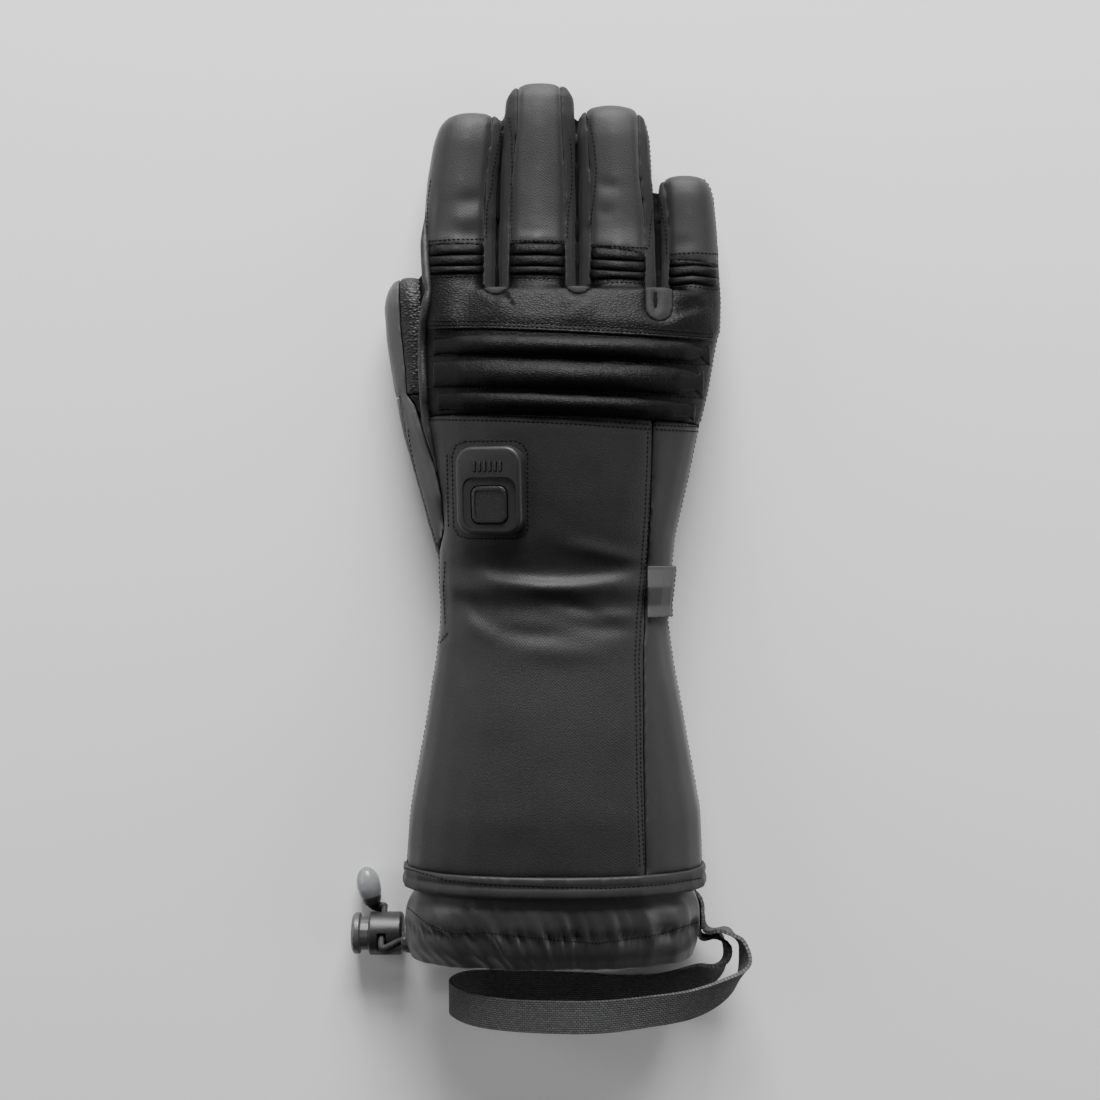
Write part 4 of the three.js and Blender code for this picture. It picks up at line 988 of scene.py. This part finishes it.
# %% Leash route, as shares of the cuff's width, length and height, and the width's direction
leash_width, leash_thickness = 12.4 * MM, 1.5 * MM
leash_route = [
    (0.43, -1.022, 0.15, 0.55, 0, 0.84), (0.49, -1.07, 0.155, 0.5, 0, 0.87),
    (0.51, -1.125, 0.17, 0.4, 0, 0.92), (0.545, -1.163, 0.225, 0.2, 0.05, 1),
    (0.6, -1.165, 0.31, 0, 0.1, 1), (0.648, -1.195, 0.37, 0.1, 0.2, 1),
    (0.653, -1.262, 0.45, 0.3, 0.6, 0.9), (0.588, -1.308, 0.545, 0.2, 0.9, 0.5),
    (0.468, -1.341, 0.66, 0.1, 1, 0.25), (0.317, -1.352, 0.75, 0, 1, 0.1),
    (0.167, -1.36, 0.805, 0, 1, 0), (0, -1.36, 0.81, 0, 1, 0),
    (-0.15, -1.36, 0.755, 0, 1, 0), (-0.258, -1.36, 0.63, 0, 1, 0),
    (-0.325, -1.358, 0.44, 0, 1, 0), (-0.336, -1.358, 0.26, 0, 1, 0),
    (-0.298, -1.356, 0.11, 0, 1, 0), (-0.215, -1.36, 0.03, 0, 1, 0),
    (-0.083, -1.366, 0.017, 0, 1, 0), (0.1, -1.37, 0.017, 0, 1, 0),
    (0.267, -1.376, 0.03, 0, 1, 0.1), (0.4, -1.36, 0.085, 0, 1, 0.3),
    (0.52, -1.315, 0.17, 0.1, 0.9, 0.5), (0.59, -1.262, 0.235, 0.2, 0.5, 0.8),
    (0.606, -1.213, 0.26, 0.1, 0.2, 1), (0.577, -1.188, 0.245, 0, 0.1, 1),
    (0.525, -1.187, 0.185, 0.2, 0.05, 1), (0.484, -1.14, 0.155, 0.4, 0, 0.92),
    (0.463, -1.075, 0.14, 0.5, 0, 0.87), (0.406, -1.022, 0.12, 0.55, 0, 0.84),
]
route = np.array([[x * cuff_width, y * cuff_length, z * cuff_height]
                  for x, y, z, *_ in leash_route]) + np.array(hand_middle)
widths = np.array([Vector(row[3:]).normalized() for row in leash_route])


def through(points):
    """A smooth line through points (Catmull-Rom), divided evenly along its length."""
    padded = np.vstack([2 * points[0] - points[1], points, 2 * points[-1] - points[-2]])
    fine = []
    for k in range(len(points) - 1):
        a, b, c, d = padded[k:k + 4]
        for t in np.linspace(0, 1, 12, endpoint=False):
            fine.append(0.5 * (2 * b + (c - a) * t + (2 * a - 5 * b + 4 * c - d) * t ** 2
                               + (3 * b - a - 3 * c + d) * t ** 3))
    return np.array(fine + [points[-1]])


fine_route = through(np.hstack([route, widths]))
line, side = fine_route[:, :3], fine_route[:, 3:]
length = np.concatenate([[0], np.cumsum(np.linalg.norm(np.diff(line, axis=0), axis=1))])
steps, lanes = 300, 12
bpy.ops.object.select_all(action="DESELECT")
bpy.ops.mesh.primitive_grid_add(x_subdivisions=steps, y_subdivisions=lanes, size=2)
leash = bpy.context.object
leash.name = leash.data.name = "wrist_leash_knit"
flat = points_of(leash)
where = (flat[:, 0] + 1) / 2 * length[-1]
middle = np.stack([np.interp(where, length, line[:, k]) for k in range(3)], axis=1)
heading = np.stack([np.interp(where, length, np.gradient(line[:, k], length))
                    for k in range(3)], axis=1)
heading /= np.linalg.norm(heading, axis=1)[:, None]
across = np.stack([np.interp(where, length, side[:, k]) for k in range(3)], axis=1)
across -= (across * heading).sum(1)[:, None] * heading
across /= np.linalg.norm(across, axis=1)[:, None]
half = (leash_width / 2) * (1 + 0.012 * np.sin(where / (9 * MM)))
put_points(leash, middle + (flat[:, 1] * half)[:, None] * across)
apply_modifier(leash, "SOLIDIFY", thickness=leash_thickness, offset=0)
places = points_of(leash)
places[:, 2] = np.maximum(places[:, 2], 0)
put_points(leash, places)
smoothly(leash, 50)
print("leash length", round(length[-1] / MM, 1), "mm")


# %% [markdown]
# The knit is a pattern of small loops in rows. The solidified grid keeps the map of its two
# faces, so a wave across and a wave along the tape, half a step apart in each row, make it.

# %% Knitted elastic
def knit_group():
    tree, given, out = group_of("knit_rows", [
        ("Vector", VECTOR, None), ("Noise", FLOAT, 0.4)], [("Height", FLOAT), ("Shade", FLOAT)])
    size = node(tree, "ShaderNodeVectorMath", {0: given.outputs["Vector"],
                                               1: (length[-1] / MM, leash_width / MM, 0)},
                operation="MULTIPLY")
    brick = node(tree, "ShaderNodeTexBrick", {
        "Vector": size.outputs[0], "Color1": (1, 1, 1, 1), "Color2": (0.55, 0.55, 0.55, 1),
        "Mortar": (0, 0, 0, 1), "Scale": 1.0, "Mortar Size": 0.2, "Mortar Smooth": 1.0,
        "Brick Width": 1.5, "Row Height": 0.85})
    speck = node(tree, "ShaderNodeTexNoise", {"Vector": size.outputs[0], "Scale": 1.4,
                                              "Detail": 3.0})
    value = node(tree, "ShaderNodeSeparateXYZ", {"Vector": brick.outputs["Color"]})
    mixed = node(tree, "ShaderNodeMix", {"Factor": given.outputs["Noise"],
                                         "A": value.outputs[0], "B": speck.outputs[0]})
    tree.links.new(mixed.outputs[0], out.inputs["Height"])
    tree.links.new(mixed.outputs[0], out.inputs["Shade"])
    return tree


knit = knit_group()
# depth=0.95 paints the gaps between the loops much darker, as painted shade.
knitted = finish("knitted_elastic", grey(0.13), 0.75, knit, {"Noise": 0.35}, bump=0.0006,
                 depth=0.95, amount=0.15, specular=0.3, uv=True)
finished(leash, knitted, replaced=["wrist_leash"])

# %% [markdown]
# ## Controller
# The switch is moulded rubber sewn on the back of the hand. A block with round corners is
# made from a cube, its top edge is rounded, and the shallow tilted field, the six slits for
# the lights and the well of the square button are cut into it. The button is left bare.


# %% Rounded blocks and cuts
def rounded_block(name, width, length, radius, low, high, at=(0, 0), bevel=0):
    """A block with round corners seen from above; sizes in millimetres."""
    bpy.ops.object.select_all(action="DESELECT")
    bpy.ops.mesh.primitive_cube_add(size=MM)
    block = bpy.context.object
    block.name = block.data.name = name
    bpy.ops.object.mode_set(mode="EDIT")
    bpy.ops.transform.resize(value=(width, length, high - low))
    bpy.ops.transform.translate(value=(at[0] * MM, at[1] * MM, (high + low) / 2 * MM))
    bpy.ops.mesh.select_mode(type="EDGE")
    for offset, segments, upright in ((radius, 10, True), (bevel, 4, False)):
        if not offset:
            continue
        bpy.ops.mesh.select_all(action="DESELECT")
        net = bmesh.from_edit_mesh(block.data)
        for edge in net.edges:
            a, b = (vert.co for vert in edge.verts)
            wanted = (abs(a.z - b.z) > 0.5 * (high - low) * MM if upright
                      else min(a.z, b.z) > (high - 0.01) * MM)
            edge.select_set(wanted)
        bmesh.update_edit_mesh(block.data)
        bpy.ops.mesh.bevel(offset=offset * MM, segments=segments, affect="EDGES")
    bpy.ops.mesh.select_mode(type="VERT")
    bpy.ops.object.mode_set(mode="OBJECT")
    return block


def cut(piece, *tools):
    """Cut tools out of a piece and throw them away."""
    for tool in tools:
        apply_modifier(piece, "BOOLEAN", operation="DIFFERENCE", object=tool, solver="EXACT")
        bpy.data.objects.remove(tool)


# %% Controller housing and button
button_joint = next(j for j in frame["joints"] if j["name"] == "heat_button_press")
press_way = Vector(button_joint["axis"])
button_offset, button_top = -5.52, 4.4      # from the housing's middle, and above its foot
plate_up = -press_way.normalized()
plate_across = Vector((1, 0, -plate_up.x / plate_up.z)).normalized()
plate_ahead = plate_up.cross(plate_across)
button_points = np.array([v.co for v in frame["nodes"]["heat_button"].data.vertices])
across_range = button_points @ np.array(plate_across)
ahead_range = button_points @ np.array(plate_ahead)
plate_middle = (plate_across * float(across_range.min() + across_range.max()) / 2
                + plate_ahead * (float(ahead_range.min() + ahead_range.max()) / 2
                                 - button_offset * MM)
                + plate_up * (float((button_points @ np.array(plate_up)).max())
                              - button_top * MM))
plate = Matrix((plate_across, plate_ahead, plate_up)).transposed().to_4x4()
plate.translation = plate_middle

housing_width, housing_length, housing_corner = 27, 34.5, 6.75
well_side, button_side, slit_pitch = 15.3, 14.4, 2.14
housing = rounded_block("controller_housing_moulded", housing_width, housing_length,
                        housing_corner, -2.4, 4.6, bevel=1.5)
field = rounded_block("field", 22, 20.4, 4.4, 3.7, 7, at=(0.3, -4.9))
only(field)
bpy.ops.object.mode_set(mode="EDIT")
bpy.ops.mesh.select_all(action="SELECT")
bpy.ops.transform.rotate(value=math.radians(-2.2), orient_axis="Y", center_override=(0, 0, 4 * MM))
bpy.ops.object.mode_set(mode="OBJECT")
well = rounded_block("well", well_side, well_side, 3.5, 1, 7, at=(0, button_offset))
slits = [rounded_block("slit", 1.35, 4.2, 0.5, 4.05, 7, at=(slit_pitch * (i - 2.5), 9.4))
         for i in range(6)]
cut(housing, field, well, *slits)
bars = [rounded_block("bar", 0.8, 3.8, 0.35, 3.6, 5.0, bevel=0.15,
                      at=(slit_pitch * (i - 2.5) - 0.15, 9.5)) for i in range(6)]
only(housing, *bars)
bpy.ops.object.join()
button = rounded_block("heat_button_moulded", button_side, button_side, 3, 2.2, button_top,
                       at=(0, button_offset), bevel=0.45)
cut(button, rounded_block("dish", 11.7, 11.7, 1.9, button_top - 0.4, 7,
                          at=(0, button_offset)))
for piece, material, slot, body in ((housing, rubber, "controller", "glove"),
                                    (button, button_rubber, "button", "button")):
    piece.data.transform(plate)
    smoothly(piece, 35)
    finished(piece, material, body=body, replaced=[piece.name.replace("_moulded", "")])
    print(piece.name, len(piece.data.polygons))

# %% [markdown]
# ## Cord lock
# The lock is a moulded barrel with a sprung plunger. Each part starts from its solid, gets
# an even skin, and then its flat facets are pushed out to the true round they stand for.


# %% Barrel and plunger
def true_round(piece, centre, radii):
    """Move points that lie near one of the radii about an X axis onto it."""
    places = points_of(piece)
    y, z = places[:, 1] - centre.y, places[:, 2] - centre.z
    far = np.hypot(y, z)
    for radius in radii:
        near = (far > 0.965 * radius) & (far < 1.01 * radius)
        grow = np.where(near, radius / far, 1)
        places[:, 1] = centre.y + (places[:, 1] - centre.y) * grow
        places[:, 2] = centre.z + (places[:, 2] - centre.z) * grow
    put_points(piece, places)


for name, material, slot, body in (
        ("cord_lock_barrel", plastic, "lock", "glove"),
        ("cord_lock_plunger", flange_plastic, "lock_flange", "plunger")):
    piece = copy_of([name], name + "_moulded")
    evenly(piece, 0.3)
    low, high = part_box(name)
    true_round(piece, lock_centre, [(high.z - low.z) / 2])
    relax(piece, 5)
    smoothly(piece)
    finished(piece, material, body=body, replaced=[name])
    print(name, len(piece.data.polygons))

# %% [markdown]
# The cord end is a dark core that grips the knot, inside an egg of clear grey plastic. The
# egg is a ball drawn out along the cord, and its material lets some light through.


# %% Core and clear cap
clear = finish("clear_cap", (0.5, 0.51, 0.53), 0.22, grain, {"Cells": 900.0, "Pebble": 0.9},
               bump=0.00002, depth=0.05)
clear.node_tree.nodes["Principled BSDF"].inputs["Transmission Weight"].default_value = 0.6
lock_diameter, lock_length = lock_high.z - lock_low.z, lock_high.x - lock_low.x
slot_tilt = math.radians(40)
slot_down = Vector((0, math.sin(slot_tilt), -math.cos(slot_tilt)))
slot_across = Vector((0, math.cos(slot_tilt), math.sin(slot_tilt)))
slot_middle = (lock_centre + 0.17 * lock_diameter * slot_across
               - Vector((0.09 * lock_length, 0, 0)))


def in_slot(reach, x=0, y=0, z=0):
    """A place along the lock's slot, as a share of its diameter and then millimetres."""
    return slot_middle + reach * lock_diameter * slot_down + MM * Vector((x, y, z))


cord_end_at = in_slot(0.5, -4.9, 4.1, 0.7)
cord_end_turn, cord_end_width = math.radians(13), 10 * MM
end_heading = Vector((-math.sin(cord_end_turn), math.cos(cord_end_turn), 0))
end_base = Vector((cord_end_at.x, cord_end_at.y, cord_end_width / 2 + 0.1 * MM))


def egg(name, start, stop, radius, blunt):
    """A ball drawn out along the cord end; blunt above 1 makes its lower end fuller."""
    bpy.ops.object.select_all(action="DESELECT")
    bpy.ops.mesh.primitive_uv_sphere_add(segments=40, ring_count=28, radius=1)
    ball = bpy.context.object
    ball.name = ball.data.name = name
    round_places = points_of(ball)
    along = round_places[:, 2]
    fuller = 1 + (blunt - 1) * step_up(-along, 0, 1)
    reach = np.hypot(round_places[:, 0], round_places[:, 1])
    wide = np.where(reach > 1e-6, reach ** (1 / fuller) / np.maximum(reach, 1e-6), 0)
    aside = Vector((0, 0, 1)).cross(end_heading)
    local = np.stack([round_places[:, 0] * wide * radius, round_places[:, 1] * wide * radius,
                      (start + stop) / 2 + along * (stop - start) / 2], axis=1) * MM
    basis = np.array([aside, Vector((0, 0, 1)), end_heading])
    put_points(ball, local @ basis + np.array(end_base))
    bpy.ops.object.mode_set(mode="EDIT")
    bpy.ops.mesh.select_all(action="SELECT")
    bpy.ops.mesh.normals_make_consistent(inside=False)
    bpy.ops.object.mode_set(mode="OBJECT")
    smoothly(ball)
    return ball


core = egg("cord_end_moulded", -1.4, 6.2, 4.1, 1.8)
finished(core, plastic, replaced=["cord_end"])
cap = egg("cord_end_cap_moulded", -0.4, 15, 4.95, 1.5)
finished(cap, clear, replaced=["cord_end_cap"])
print("cord end", len(core.data.polygons), len(cap.data.polygons))

# %% [markdown]
# ## Drawcord
# The cord leaves its casing doubled, goes through the lock and ends in the cord end, so the
# object holds it all the way. Two thin rolls side by side follow the route of its solid.

# %% Two strands through the lock
mouth_at = hand_middle + Vector((-0.483 * cuff_width, -1.194 * cuff_length,
                                 0.328 * cuff_height))
end_across = Vector((0.97, 0.22, 0))
cord_stations = [
    (mouth_at, Vector((0, 1, 0.1))),
    (mouth_at + MM * Vector((-3.4, -0.6, 0.5)), Vector((0, 1, 0.3))),
    (in_slot(-0.6, 3.9, 1, 1.2), Vector((0, 0.9, 0.5))),
    (in_slot(-0.6, 1.4, 0.1, 0.2), slot_across),
    (in_slot(-0.5), slot_across),
    (in_slot(0), slot_across),
    (in_slot(0.5), slot_across),
    (in_slot(0.5, -0.6, 1.3, -0.8), Vector((0.4, 0.75, 0.5))),
    (in_slot(0.5, -3, 2, -0.3), Vector((0.9, 0.5, 0.3))),
    (cord_end_at - 0.7 * MM * end_heading, end_across),
    (cord_end_at + 1.3 * MM * end_heading, end_across),
]
cord_line = np.array([[*at, *across.normalized()] for at, across in cord_stations])
strand_radius, strand_aside = 1.25 * MM, 1.36 * MM
braid = finish("braided_cord", grey(0.05), 0.6, twill, {"Pitch": 0.0007, "Noise": 0.25},
               bump=0.0002, depth=0.5, specular=0.3)
fine_cord = through(cord_line)
strands = []
for sign in (-1, 1):
    middle_line = fine_cord[:, :3] + sign * strand_aside * fine_cord[:, 3:]
    strands.append(roll("drawcord_strand", [Vector(p) for p in middle_line],
                        [strand_radius] * len(middle_line), braid))
drawcord = only(*strands)
bpy.ops.object.join()
drawcord.name = drawcord.data.name = "drawcord_strands"
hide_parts("drawcord")
cord_length = float(np.linalg.norm(np.diff(fine_cord[:, :3], axis=0), axis=1).sum())
print("drawcord", len(drawcord.data.polygons), "faces,", round(cord_length / MM, 1), "mm")

# %% [markdown]
# ## Stitches
# One stitch is a small rounded bead of thread, half sunk in the cloth. It is modelled once
# and set down again and again along each row, turned a little at random as real thread is.

# %% One stitch
bpy.ops.object.select_all(action="DESELECT")
bpy.ops.mesh.primitive_uv_sphere_add(segments=8, ring_count=5, radius=1)
pattern = bpy.context.object
bpy.ops.object.mode_set(mode="EDIT")
bpy.ops.transform.rotate(value=math.pi / 2, orient_axis="Y", center_override=(0, 0, 0))
bpy.ops.object.mode_set(mode="OBJECT")
bead = points_of(pattern)
bead[:, 0] = np.sign(bead[:, 0]) * np.abs(bead[:, 0]) ** 0.7
bead_faces = [list(p.vertices) for p in pattern.data.polygons]
bpy.data.objects.remove(pattern)
print("bead", len(bead_faces), "faces")


# %% Rows of stitches
def sew(name, rows, size):
    """Lay a bead at every place of some rows of places, normals and headings."""
    corners, faces = [], []
    for row in rows:
        for i, (place, up, ahead) in enumerate(row):
            ahead = (ahead - ahead.dot(up) * up).normalized()
            sway = 0.12 * math.sin(12.9898 * (len(corners) + i))
            ahead = (Matrix.Rotation(sway, 3, up) @ ahead).normalized()
            aside = up.cross(ahead)
            frame_of = np.array([ahead * size[0], aside * size[1], up * size[2]])
            start = len(corners) * len(bead)
            corners.append(bead @ frame_of + np.array(place + 0.2 * size[2] * up))
            faces += [[start + k for k in face] for face in bead_faces]
    mesh = bpy.data.meshes.new(name)
    mesh.from_pydata(np.concatenate(corners).tolist(), [], faces)
    piece = bpy.data.objects.new(name, mesh)
    bpy.context.collection.objects.link(piece)
    smoothly(piece)
    finished(piece, thread)
    print(name, len(corners), "stitches")


skin = surface_of(list(sewn.values()) + [hem, tab, skirt])
stitch_pitch, skirt_pitch = 1.85 * MM, 1.5 * MM
stitch = (0.68 * MM, 0.3 * MM, 0.26 * MM)
fine_stitch = (0.55 * MM, 0.22 * MM, 0.2 * MM)
sew("cloth_stitches", [skin_line(skin, row, stitch_pitch) for row in cloth_rows],
    stitch)
sew("leather_stitches", [skin_line(skin, row, stitch_pitch) for row in leather_rows],
    stitch)
sew("hem_stitches", [skin_line(skin, hem_row, stitch_pitch)], stitch)
sew("skirt_stitches", [skin_line(skin, skirt_row, skirt_pitch)], fine_stitch)

# %% [markdown]
# The seams that the camera doesn't see are sewn too: the long seam along each side, where
# the back meets the palm, and the one across the heel of the palm.

# %% Stitches on the sides and underneath
def close_steps(stations, spacing=0.4 * MM):
    """Pairs of numbers that lie close together along a bent line."""
    for (a0, b0), (a1, b1) in zip(stations[:-1], stations[1:]):
        for t in np.arange(0, 1, spacing / abs(a1 - a0)):
            yield a0 + t * (a1 - a0), b0 + t * (b1 - b0)


def hidden_row(surface, starts, way, step):
    """A row of stitches where looks from many starts, all one way, meet the skin."""
    dense = []
    for start in starts:
        hit = surface.ray_cast(start, way)
        if hit[0] is not None and (not dense or (hit[0] - dense[-1][0]).length >= step):
            dense.append((hit[0], hit[1]))
    return [(a[0], a[1], (b[0] - a[0]).normalized()) for a, b in zip(dense[:-1], dense[1:])
            if (b[0] - a[0]).length < 3 * step]


side_seam = [(-126, 26.4), (-80, 26.2), (-27, 24), (10, 23), (62, 26), (104, 20.9),
             (140, 16.2), (176, 15.3)]
right_side = [(y * MM, z * MM) for y, z in side_seam]
left_side = [(y * MM, z * MM) for y, z in side_seam[:4]] + [(50 * MM, 25.5 * MM)]
heel_rows, heel_ends = (-24.6 * MM, -29.4 * MM), (-44 * MM, 50 * MM)
hidden_rows = [hidden_row(skin, [Vector((sign * 0.15, y, z)) for y, z in close_steps(seam)],
                          Vector((-sign, 0, 0)), stitch_pitch)
               for sign, seam in ((1, right_side), (-1, left_side))]
hidden_rows += [hidden_row(skin, [Vector((x, y, -0.1)) for x, y in
                                  close_steps([(end, heel) for end in heel_ends])],
                           Vector((0, 0, 1)), stitch_pitch) for heel in heel_rows]
sew("hidden_stitches", hidden_rows, stitch)

# %% [markdown]
# ## Table and light
# A plain pale table and soft light from all round, brighter from above and behind the
# fingers, so that the dark cloth keeps its shape.

# %% Table, sky and lamps
bpy.ops.mesh.primitive_plane_add(size=6, location=(0, 0, -0.0004))
table = bpy.context.object
table.name = "table"
table_paint = bpy.data.materials.new("table_paint")
table_paint.use_nodes = True
paint = table_paint.node_tree.nodes["Principled BSDF"]
paint.inputs["Base Color"].default_value = (0.93, 0.93, 0.93, 1)
paint.inputs["Roughness"].default_value = 0.9
table.data.materials.append(table_paint)
table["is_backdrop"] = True

sky = bpy.data.worlds.new("sky")
bpy.context.scene.world = sky
sky.use_nodes = True
air = sky.node_tree
way = node(air, "ShaderNodeTexCoord")
height = node(air, "ShaderNodeSeparateXYZ", {"Vector": way.outputs["Generated"]})
fade = node(air, "ShaderNodeMapRange", {"Value": height.outputs["Z"], "From Min": 0.15,
                                        "From Max": 0.8, "To Min": 1.15, "To Max": 0.5})
air.links.new(fade.outputs[0], air.nodes["Background"].inputs["Strength"])


def lamp(name, place, aim, size, power):
    """A square soft lamp at a place, aimed at a point."""
    data = bpy.data.lights.new(name, "AREA")
    data.shape = "SQUARE"
    data.size = size
    data.energy = power
    made = bpy.data.objects.new(name, data)
    bpy.context.collection.objects.link(made)
    made.location = place
    turn = (Vector(aim) - Vector(place)).to_track_quat("-Z", "Y")
    made.rotation_euler = turn.to_euler()


lamp("far_lamp", (0.05, 1.3, 0.6), (0, 0, 0), 0.8, 52)
lamp("left_lamp", (-1.1, 0.1, 0.6), (0, 0, 0), 0.7, 5)
lamp("right_lamp", (1.1, -0.2, 0.6), (0, 0, 0), 0.7, 5)

# %% [markdown]
# ## Sizes and end
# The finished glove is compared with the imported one, because dressing must not change size.

# %% Measure and finish
seen_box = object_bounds()
for axis, low, high in zip("XYZ", (seen_box[0] - cad_box[0]), (seen_box[1] - cad_box[1])):
    print(axis, "grows", round(-low / MM, 1), "and", round(high / MM, 1), "mm")
